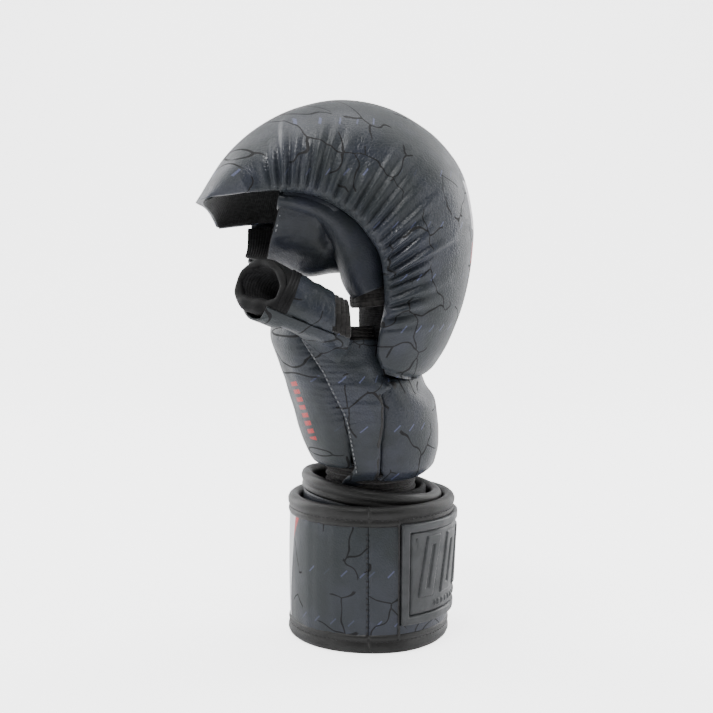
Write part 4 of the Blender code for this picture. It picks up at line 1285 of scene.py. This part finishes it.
def make_gusset_notch_shade():
    """Dark lining knit between the back pad's top and the hood's lower end; it closes the gap, and
    its darkness is painted shade for the shadowed notch.
    """
    turn = np.linspace(-90.0, 90.0, 90)[None, :]
    t = np.linspace(0.0, 1.0, 24)[:, None]
    inset = NOTCH_SHADE_GUSSET_INSET[1] * MM
    low = hand_form(120.0 + 0.0 * turn, turn, NOTCH_SHADE_GUSSET_INSET[0])
    high = hood_form(0.02 + 0.0 * turn, np.radians(turn), inset, inset)
    points = low + (high - low) * t[..., None]
    fold = 2.5 * MM * np.sin(math.pi * t)
    middle = points.mean(axis=1, keepdims=True)
    away = points - middle
    away[..., 2] = 0.0
    points = points - away / np.maximum(np.linalg.norm(away, axis=-1, keepdims=True), 1e-9) \
        * fold[..., None]
    # The lining knit is set deep in the notch so that its dark colour paints the shade of the gap
    # between the hood and the back pad.
    made = grid_object("knuckle_gusset_notch_shade", points, LINING, thickness=1.0 * MM)
    apply_modifiers(made)
    made.data.shade_smooth()
    return made


gusset_notch_shade = make_gusset_notch_shade()
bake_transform(gusset_notch_shade)
roll_path = [(9.0 * MM, y * MM, 128.5 * MM) for y in np.linspace(-38.5, 38.5, 30)]
roll = tube_object("knuckle_fold_leather", roll_path, 2.0 * MM, BINDING)
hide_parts("knuckle_fold_roll")
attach(roll, "hand")
print("hand dressed")


# %% [markdown]
# ## Finger cover and finger sleeves
#
# Under the hood a smooth leather bag covers the fingertips, sewn to the hood's rim, and each
# finger goes through its own short sleeve with an elastic hem. The bag's open edge is turned in
# and held by two rows of stitches, and beside the first sleeve the leather is tucked into a
# dimple. The first sleeve's leather runs on along the rim into the bag.

# %% Finger cover
COVER_SHARES = (0.762, 0.565)
COVER_BOTTOM = ((-51.0, 184.6), (-20.0, 182.4))


def cover_form(along, turn, inset=0.0):
    """The cover: along runs from its open edge (0) to its fold (1); turn as in the hood."""
    along, turn = np.broadcast_arrays(along, turn)
    far = ease(np.sin(turn) / 0.8 + 0.5) * np.clip(1.0 - along, 0.0, 1.3)
    share = COVER_SHARES[0] + (COVER_SHARES[1] - COVER_SHARES[0]) * (along - 0.72 * far)
    along = along - 0.42 * far
    top = rim_at(share, turn) - np.stack((share * 0, share * 0 + 0.4 * MM), -1)
    first, last = np.array(COVER_BOTTOM) * MM
    drop = first + (last - first) * along[..., None] - top
    drop[..., 1] -= 3.0 * MM * np.exp(-((along - 0.62) / 0.30) ** 2)
    depth = np.abs(np.cos(turn)) ** 0.55
    length = np.linalg.norm(drop, axis=-1)
    flat = top + drop * ((1.0 - inset / length) * depth)[..., None]
    half = (50.3 - 6.0 * depth) * MM - inset - 7.0 * MM * ease((along - 0.82) / 0.3)
    return np.stack((flat[..., 0], half * power(np.sin(turn), 0.55), flat[..., 1]), -1)


def dent(points, centre, size, depth):
    """A soft dimple pressed in from both sides of the glove; sizes in millimetres."""
    away = np.hypot((points[..., 0] / MM - centre[0]) / size[0],
                    (points[..., 2] / MM - centre[1]) / size[1])
    push = depth * MM * np.exp(-away ** 2)
    points[..., 1] -= np.sign(points[..., 1]) * push * (np.abs(points[..., 1]) > 0.02)
    return points


def make_finger_cover():
    along = np.linspace(0.0, 1.16, 110)[:, None]
    turn = np.radians(np.linspace(-90.0, 90.0, 200))[None, :]
    points = cover_form(along, turn)
    points = dent(points, (-22.0, 200.0), (3.8, 7.5), 4.2)
    belly = np.exp(-((points[..., 0] / MM + 36.0) / 10.0) ** 2
                   - ((points[..., 2] / MM - 193.0) / 9.0) ** 2)
    points[..., 1] += np.sign(points[..., 1]) * 0.6 * MM * belly * (np.abs(points[..., 1]) > 0.02)
    normals = grid_normals(points)
    normals[..., 1] *= np.sign(normals[..., 1] * points[..., 1] + 1e-12)
    fine = 0.28 * MM * soft_noise(points * np.array((1.0, 0.6, 1.5)), 150.0, 5.0)
    soft = 0.3 * MM * soft_noise(points, 45.0, 1.0)
    edge = np.exp(-along * 16.0) * 0.5 * MM
    points[..., 1] += np.sign(points[..., 1]) * (fine + soft - edge)
    made = grid_object("finger_cover_leather", points, SMOOTH, thickness=1.2 * MM, flip=True)
    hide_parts("finger_cover")
    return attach(made, "mitt")


make_finger_cover()
flap = grid_object("finger_cover_flap",
                   cover_form(np.linspace(-0.03, 0.5, 50)[:, None],
                              np.radians(np.linspace(-89.0, 89.0, 100))[None, :], 2.4 * MM),
                   LINING, thickness=0.8 * MM, flip=True)
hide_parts("finger_cover_lining")
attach(flap, "mitt")

for number, along in enumerate((0.03, 0.165), start=1):
    turn = np.radians(np.linspace(-86.0, 86.0, 160))
    path = cover_form(along, turn)
    out = np.stack((0.0 * turn, np.sin(turn), -np.cos(turn) ** 3), -1)
    out /= np.linalg.norm(out, axis=1, keepdims=True)
    line = stitch_line("finger_cover_stitches_%d" % number, path, out, PALE_THREAD, pitch=2.4,
                       length=1.6, radius=0.30, lift=0.85)
    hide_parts("finger_cover_stitch_row_%d" % number)
    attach(line, "mitt")


# %% Finger sleeves and their hems
FINGERS = ("index", "middle", "ring", "little")
SLEEVE_PATH = ((-1.8, 173.4), (-4.4, 180.5), (-5.6, 188.0), (-8.0, 197.0), (-10.5, 202.5))
INDEX_PATH = ((-1.8, 173.4), (-4.6, 180.5), (-5.6, 188.0), (-8.4, 197.0), (-14.0, 204.5),
              (-23.0, 210.5), (-34.0, 214.0), (-44.0, 215.5))
HEM_PATH = ((-1.2, 167.4), (-1.6, 171.0), (-2.0, 175.4))
SLEEVE_MIDDLES = (-36.0, -12.0, 11.5, 34.5)
SLEEVE_DEPTH = (8.2, 9.7, 10.8, 9.6, 7.0)
INDEX_DEPTH = (8.2, 9.9, 11.2, 10.6, 8.6, 6.6, 5.0, 3.6)


def finger_tube(path, depths, y, width, rows):
    """Rings across a curved path in the side view; depth in that plane, width across it."""
    line = smooth_curve(path, rows)
    along = np.gradient(line, axis=0)
    along /= np.linalg.norm(along, axis=1, keepdims=True)
    side = np.stack((along[:, 1], -along[:, 0]), -1)
    depth = np.interp(np.linspace(0, 1, rows), np.linspace(0, 1, len(depths)), depths)
    turn = np.linspace(0.0, 2 * math.pi, 64, endpoint=False)[None, :]
    reach = power(np.cos(turn), 0.9) * depth[:, None]
    flat = line[:, None] + side[:, None] * reach[..., None]
    across = y + width * power(np.sin(turn), 0.9) + 0 * reach
    return np.stack((flat[..., 0], across, flat[..., 1]), -1) * MM


def make_sleeve(number, finger):
    y = SLEEVE_MIDDLES[number]
    if number == 0:
        points = finger_tube(INDEX_PATH, INDEX_DEPTH, y, 12.8, 90)
        points[..., 1] -= ease((-points[..., 0] - 0.008) / 0.03) * 2.6 * MM
    else:
        points = finger_tube(SLEEVE_PATH, SLEEVE_DEPTH, y, 11.0, 50)
    points[..., 0] += 0.35 * MM * soft_noise(points, 60.0, number)
    made = grid_object(finger + "_sleeve_leather", points, SMOOTH, closed=True,
                       thickness=1.1 * MM, flip=True)
    made.modifiers.new("Join", "WELD").merge_threshold = 0.00001
    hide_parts(finger + "_finger_sleeve")
    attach(made, "mitt")
    rows = 46
    hem = finger_tube(HEM_PATH, (8.3, 7.9, 8.3), y, 11.0, rows)
    ribs = np.sin(np.linspace(0.0, 2 * math.pi * 4.4, rows))[:, None]
    centre = hem.mean(axis=1, keepdims=True)
    out = hem - centre
    out /= np.linalg.norm(out, axis=2, keepdims=True)
    crumple = 0.45 * ribs + 0.5 * soft_noise(hem * np.array((1.0, 1.0, 2.0)), 160.0, 3.0 + number)
    hem = hem + out * crumple[..., None] * MM
    band = grid_object(finger + "_hem_rib", hem, ELASTIC, closed=True, thickness=1.4 * MM,
                       flip=True)
    band.modifiers.new("Join", "WELD").merge_threshold = 0.00001
    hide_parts(finger + "_hem_elastic")
    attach(band, "mitt")


for number, finger in enumerate(FINGERS):
    make_sleeve(number, finger)


# %% Knit that bridges the knuckles inside
def make_knuckle_knit():
    """The lining behind the finger openings, from the hand's back up into the mitt."""
    z = np.linspace(146.0, 176.0, 40)[:, None] * MM
    y = np.linspace(-41.0, 41.0, 70)[None, :] * MM
    x = (-5.5 + 11.5 * (np.abs(y) / 0.041) ** 5) * MM + 0 * z
    points = np.stack(np.broadcast_arrays(x, y, z), -1).copy()
    points[..., 0] += 0.3 * MM * soft_noise(points, 90.0, 2.0)
    made = grid_object("knuckle_knit", points, LINING, thickness=1.2 * MM)
    return made


knuckle_knit = make_knuckle_knit()
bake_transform(knuckle_knit)
print("fingers dressed")


# %% [markdown]
# ## The thumb
#
# The thumb is a short tube that is open at its tip, so the thumb can grip. A printed band goes
# over its top, a dark gathered strip lets it stretch, and the outer panel under it runs on into
# the side of the hand. The tip is cut slantwise and bound in black, thickest along its lower lip.
# Each part is a stretch of the same tube,
# so one function gives the tube and the parts choose their own angles.

# %% Thumb form
THUMB_BASE = np.array((-15.5, -55.0, 159.0))
THUMB_TIP = np.array((-53.0, -59.5, 176.5))
THUMB_LENGTH = float(np.linalg.norm(THUMB_TIP - THUMB_BASE))
THUMB_ALONG = (THUMB_TIP - THUMB_BASE) / THUMB_LENGTH
THUMB_SIDE = np.cross(THUMB_ALONG, (0.0, 0.0, 1.0))
THUMB_SIDE /= np.linalg.norm(THUMB_SIDE)
THUMB_TOP = np.cross(THUMB_SIDE, THUMB_ALONG)


def thumb_form(share, angle, grow=0.0):
    """The tube: 90 degrees is its top, 180 the side away from the palm, 270 its underside."""
    turn = np.radians(angle)
    share, turn = np.broadcast_arrays(share, turn)
    radius = (10.0 + 2.5 * share + grow)[..., None]
    centre = THUMB_BASE + (THUMB_TIP - THUMB_BASE) * share[..., None]
    return (centre + radius * (THUMB_SIDE * np.cos(turn)[..., None]
                               + THUMB_TOP * np.sin(turn)[..., None])) * MM


def base_cut(angle):
    """The base end is cut upright, not square to the tube."""
    return (-2.9 + 4.2 * np.sin(np.radians(angle))) / 37.5


def tip_cut(angle):
    """The tip is cut slantwise: its palm side reaches further than its outer side."""
    return 0.98 + 0.22 * np.cos(np.radians(angle))


def thumb_part(name, low, high, angles, grow, material, nodes, rows=60, columns=90,
               thickness=1.1):
    """One stretch of the tube; low and high are functions of the angle, grow one of both."""
    angle = np.linspace(*angles, columns)[None, :]
    t = np.linspace(0.0, 1.0, rows)[:, None]
    share = low(angle) + (high(angle) - low(angle)) * t
    points = thumb_form(share, angle, grow(t, angle))
    closed = abs(angles[1] - angles[0]) > 359.0
    made = grid_object(name, points, material, thickness=thickness * MM)
    if closed:
        made.modifiers.new("Join", "WELD").merge_threshold = 0.00001
    if nodes:
        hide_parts(*nodes)
    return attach(made, "thumb")


def soft_edges(t, angle, low, high):
    """Draws a part in at its two long seams and swells it between them."""
    side = np.clip(np.minimum(angle - low, high - angle) / 26.0, 0.0, 1.0) ** 0.5
    return -1.5 + 1.9 * side + 0.0 * t


# %% Thumb parts
BAND = (12.0, 214.0)         # angles round the tube that the upper parts take
PANEL = (206.0, 380.0)
STRIP = (0.62, 0.71)         # shares along the tube between which the gathered strip lies


def band_swell(t, angle):
    lumps = soft_noise(thumb_form(t, angle), 110.0, 3.0)
    return soft_edges(t, angle, *BAND) + 0.45 * lumps - 0.8 * np.exp(-t * 22.0)


def strip_swell(t, angle):
    return soft_edges(t, angle, *BAND) + 0.1 + 0.35 * np.sin(t * 16.0)


def tip_swell(t, angle):
    return soft_edges(t, angle, *BAND) - 0.1 - 0.5 * np.exp(-t * 12.0)


def panel_swell(t, angle):
    lumps = soft_noise(thumb_form(t, angle), 80.0, 7.0)
    sag = 1.3 * np.exp(-((angle - 262.0) / 38.0) ** 2)
    under = 2.2 * (1.0 - ease((t - 0.70) / 0.10)) * (angle < 300.0)
    return soft_edges(t, angle, *PANEL) + 0.35 * lumps + sag - under


def rib_swell(t, angle):
    crumple = soft_noise(thumb_form(t, angle), 150.0, 2.0)
    return -0.5 + 0.5 * np.sin(t * 2 * math.pi * 3.4 + 0.8 * crumple) + 0.35 * crumple


def shift(cut, amount):
    return lambda angle: cut(angle) + amount / THUMB_LENGTH


def level(value):
    return lambda angle: value + 0.0 * angle


thumb_part("thumb_upper_leather", shift(base_cut, 7.4), level(STRIP[0] + 0.01), BAND, band_swell,
           PRINTED, ["thumb_upper_panel"])
thumb_part("thumb_elastic_strip", level(STRIP[0]), level(STRIP[1]), BAND, strip_swell,
           DARK_BINDING, ["thumb_foam"], rows=24)
thumb_part("thumb_tip_leather", level(STRIP[1] - 0.01), shift(tip_cut, -2.4), BAND, tip_swell,
           DARK_BINDING, [])
thumb_part("thumb_lower_leather", shift(base_cut, 0.0), shift(tip_cut, -2.4), PANEL, panel_swell,
           PRINTED, ["thumb_lower_panel"])
thumb_part("thumb_hem_rib", shift(base_cut, 0.0), shift(base_cut, 7.8), (8.0, 203.0), rib_swell,
           ELASTIC, ["thumb_hem_elastic"], rows=44)
thumb_part("thumb_knit", shift(base_cut, 0.4), shift(tip_cut, -1.0), (0.0, 360.0),
           lambda t, a: -3.0 + 0.0 * t * a, LINING, ["thumb_lining"])


def make_tip_binding():
    angle = np.linspace(0.0, 360.0, 120, endpoint=False)
    heavy = np.exp(-((angle - 255.0) / 55.0) ** 2)
    path = thumb_form(tip_cut(angle) - 1.4 / THUMB_LENGTH, angle, -1.0 - 2.6 * heavy)
    width = 1.0 + 0.08 * np.sin(np.radians(angle) * 9.0) + 0.85 * heavy
    made = tube_object("thumb_tip_roll", path, 2.1 * MM * width, DARK_BINDING, sides=16,
                       closed=True, up=THUMB_ALONG)
    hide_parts("thumb_tip_binding")
    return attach(made, "thumb")


make_tip_binding()


# %% The flare from the hand's side up to the thumb
def make_flare():
    """The outer thumb panel: round the tube's outer side, then down to the palm seam."""
    s = np.linspace(0.0, 1.0, 90)[:, None]
    t = np.linspace(0.0, 1.0, 64)[None, :]
    share = -0.17 + 1.0 * s
    arc_angle = 212.0 + 50.0 * np.minimum(t / 0.45, 1.0)
    round_it = thumb_form(share, arc_angle, 0.9 * np.sin(math.pi * np.minimum(t / 0.45, 1.0)))
    z = 140.0 + 15.5 * s
    low = hand_form(z + 0.0 * t, -(95.0 + 25.0 * s) + 0.0 * t, 0.2)
    start = thumb_form(share, 262.0 + 0.0 * t, 0.0 * t)
    middle = low + (start - low) * np.array((0.42, 0.30, 0.45))
    u = np.clip((t - 0.45) / 0.55, 0.0, 1.0)[..., None]
    fall = start * (1 - u) ** 2 + 2 * middle * u * (1 - u) + low * u ** 2
    points = np.where((t < 0.45)[..., None], round_it, fall)
    flat = hand_form(151.0 - 11.0 * t + 0.0 * s, -(84.0 + 11.0 * t) + 0.0 * s, 0.2)
    points = flat + (points - flat) * ease((s + 0.02) / 0.30)[..., None]
    points[..., 1] += 0.45 * MM * soft_noise(points, 60.0, 9.0)
    made = grid_object("thumb_flare_leather", points, PRINTED, thickness=1.1 * MM)
    apply_modifiers(made)
    made.data.shade_smooth()
    return made


flare = make_flare()
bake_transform(flare)
print("thumb dressed")


# %% [markdown]
# ## Floor, light and camera
#
# The glove stands on a pale seamless floor in a white studio. Soft lights above, beside and behind
# it make the long highlights and pale rims on the leather. The surround is bright behind the glove
# and dark in front of it, because dark leather shows whatever stands before it.
# The camera is about two thirds of a metre away, a little above the middle, tipped slightly down.

# %% Studio
FLOOR_GLOW = 0.35            # light that the paper gives the glove from below
FLOOR_SEEN = 3.0             # how bright the paper is to the camera


def make_floor():
    mesh = bpy.data.meshes.new("studio_floor")
    run = [(-1.2, 0.0)] + [(0.9 + 0.5 * math.sin(a), 0.5 - 0.5 * math.cos(a))
                          for a in np.linspace(0.0, math.pi / 2, 24)] + [(1.4, 2.2)]
    places = [(x, y, z) for y, z in run for x in (-2.5, 2.5)]
    faces = [(2 * k, 2 * k + 1, 2 * k + 3, 2 * k + 2) for k in range(len(run) - 1)]
    mesh.from_pydata(places, [], faces)
    mesh.shade_smooth()
    floor = bpy.data.objects.new("studio_floor", mesh)
    bpy.context.scene.collection.objects.link(floor)
    material, tree, shader, places = start_material("seamless_paper", 0.9, specular=0.2)
    shader.inputs["Base Color"].default_value = (0.80, 0.80, 0.81, 1.0)
    shader.inputs["Emission Color"].default_value = (1.0, 1.0, 1.0, 1.0)
    seen = add_node(tree, "ShaderNodeLightPath").outputs["Is Camera Ray"]
    tree.links.new(calculate(tree, "MULTIPLY_ADD", seen, FLOOR_SEEN - FLOOR_GLOW, FLOOR_GLOW),
                   shader.inputs["Emission Strength"])
    mesh.materials.append(material)
    return floor


def make_light(name, place, aim, size, watts):
    lamp = bpy.data.lights.new(name, "AREA")
    lamp.shape = "RECTANGLE"
    lamp.size, lamp.size_y = size
    lamp.energy = watts
    made = bpy.data.objects.new(name, lamp)
    bpy.context.scene.collection.objects.link(made)
    made.location = place
    made.rotation_euler = (Vector(aim) - Vector(place)).to_track_quat("-Z", "Y").to_euler()
    return made


make_floor()
CENTRE = (float(ORIGIN[0]), float(ORIGIN[1]), 0.14)
LIGHTS = (("key", (-0.25, -0.50, 1.45), (0.45, 0.3), 13.0),
          ("left", (-1.35, -0.55, 0.45), (0.5, 1.3), 9.0),
          ("right", (1.35, -0.45, 0.55), (0.5, 1.3), 9.0),
          ("rim_left", (-1.0, 0.75, 0.6), (0.7, 1.4), 12.0),
          ("rim_right", (1.0, 0.75, 0.6), (0.7, 1.4), 12.0),
          ("top", (0.0, 0.35, 1.6), (1.6, 0.9), 14.0))
for name, place, size, watts in LIGHTS:
    make_light(name, place, CENTRE, size, watts)
world = bpy.data.worlds.new("studio")
world.use_nodes = True
sky = world.node_tree
facing = add_node(sky, "ShaderNodeSeparateXYZ",
                  {0: add_node(sky, "ShaderNodeTexCoord").outputs["Generated"]}).outputs["Y"]
glow = ramp(sky, facing, -0.5, 0.6, 0.06, 1.0)
plain = add_node(sky, "ShaderNodeLightPath").outputs["Is Camera Ray"]
sky.links.new(calculate(sky, "MAXIMUM", glow, plain), sky.nodes["Background"].inputs["Strength"])
sky.nodes["Background"].inputs["Color"].default_value = (0.93, 0.94, 0.96, 1.0)
bpy.context.scene.world = world

lens = bpy.data.cameras.new("camera")
lens.lens = 68.5
lens.sensor_width = 36.0
camera = bpy.data.objects.new("camera", lens)
bpy.context.scene.collection.objects.link(camera)
camera.location = ORIGIN + np.array((-8.0, -675.0, 200.0)) * MM
aim_at = ORIGIN + np.array((-8.0, 0.0, 138.9)) * MM
camera.rotation_euler = (Vector(aim_at) - camera.location).to_track_quat("-Z", "Y").to_euler()
bpy.context.scene.camera = camera
print("camera height:", round(camera.location.z, 3))
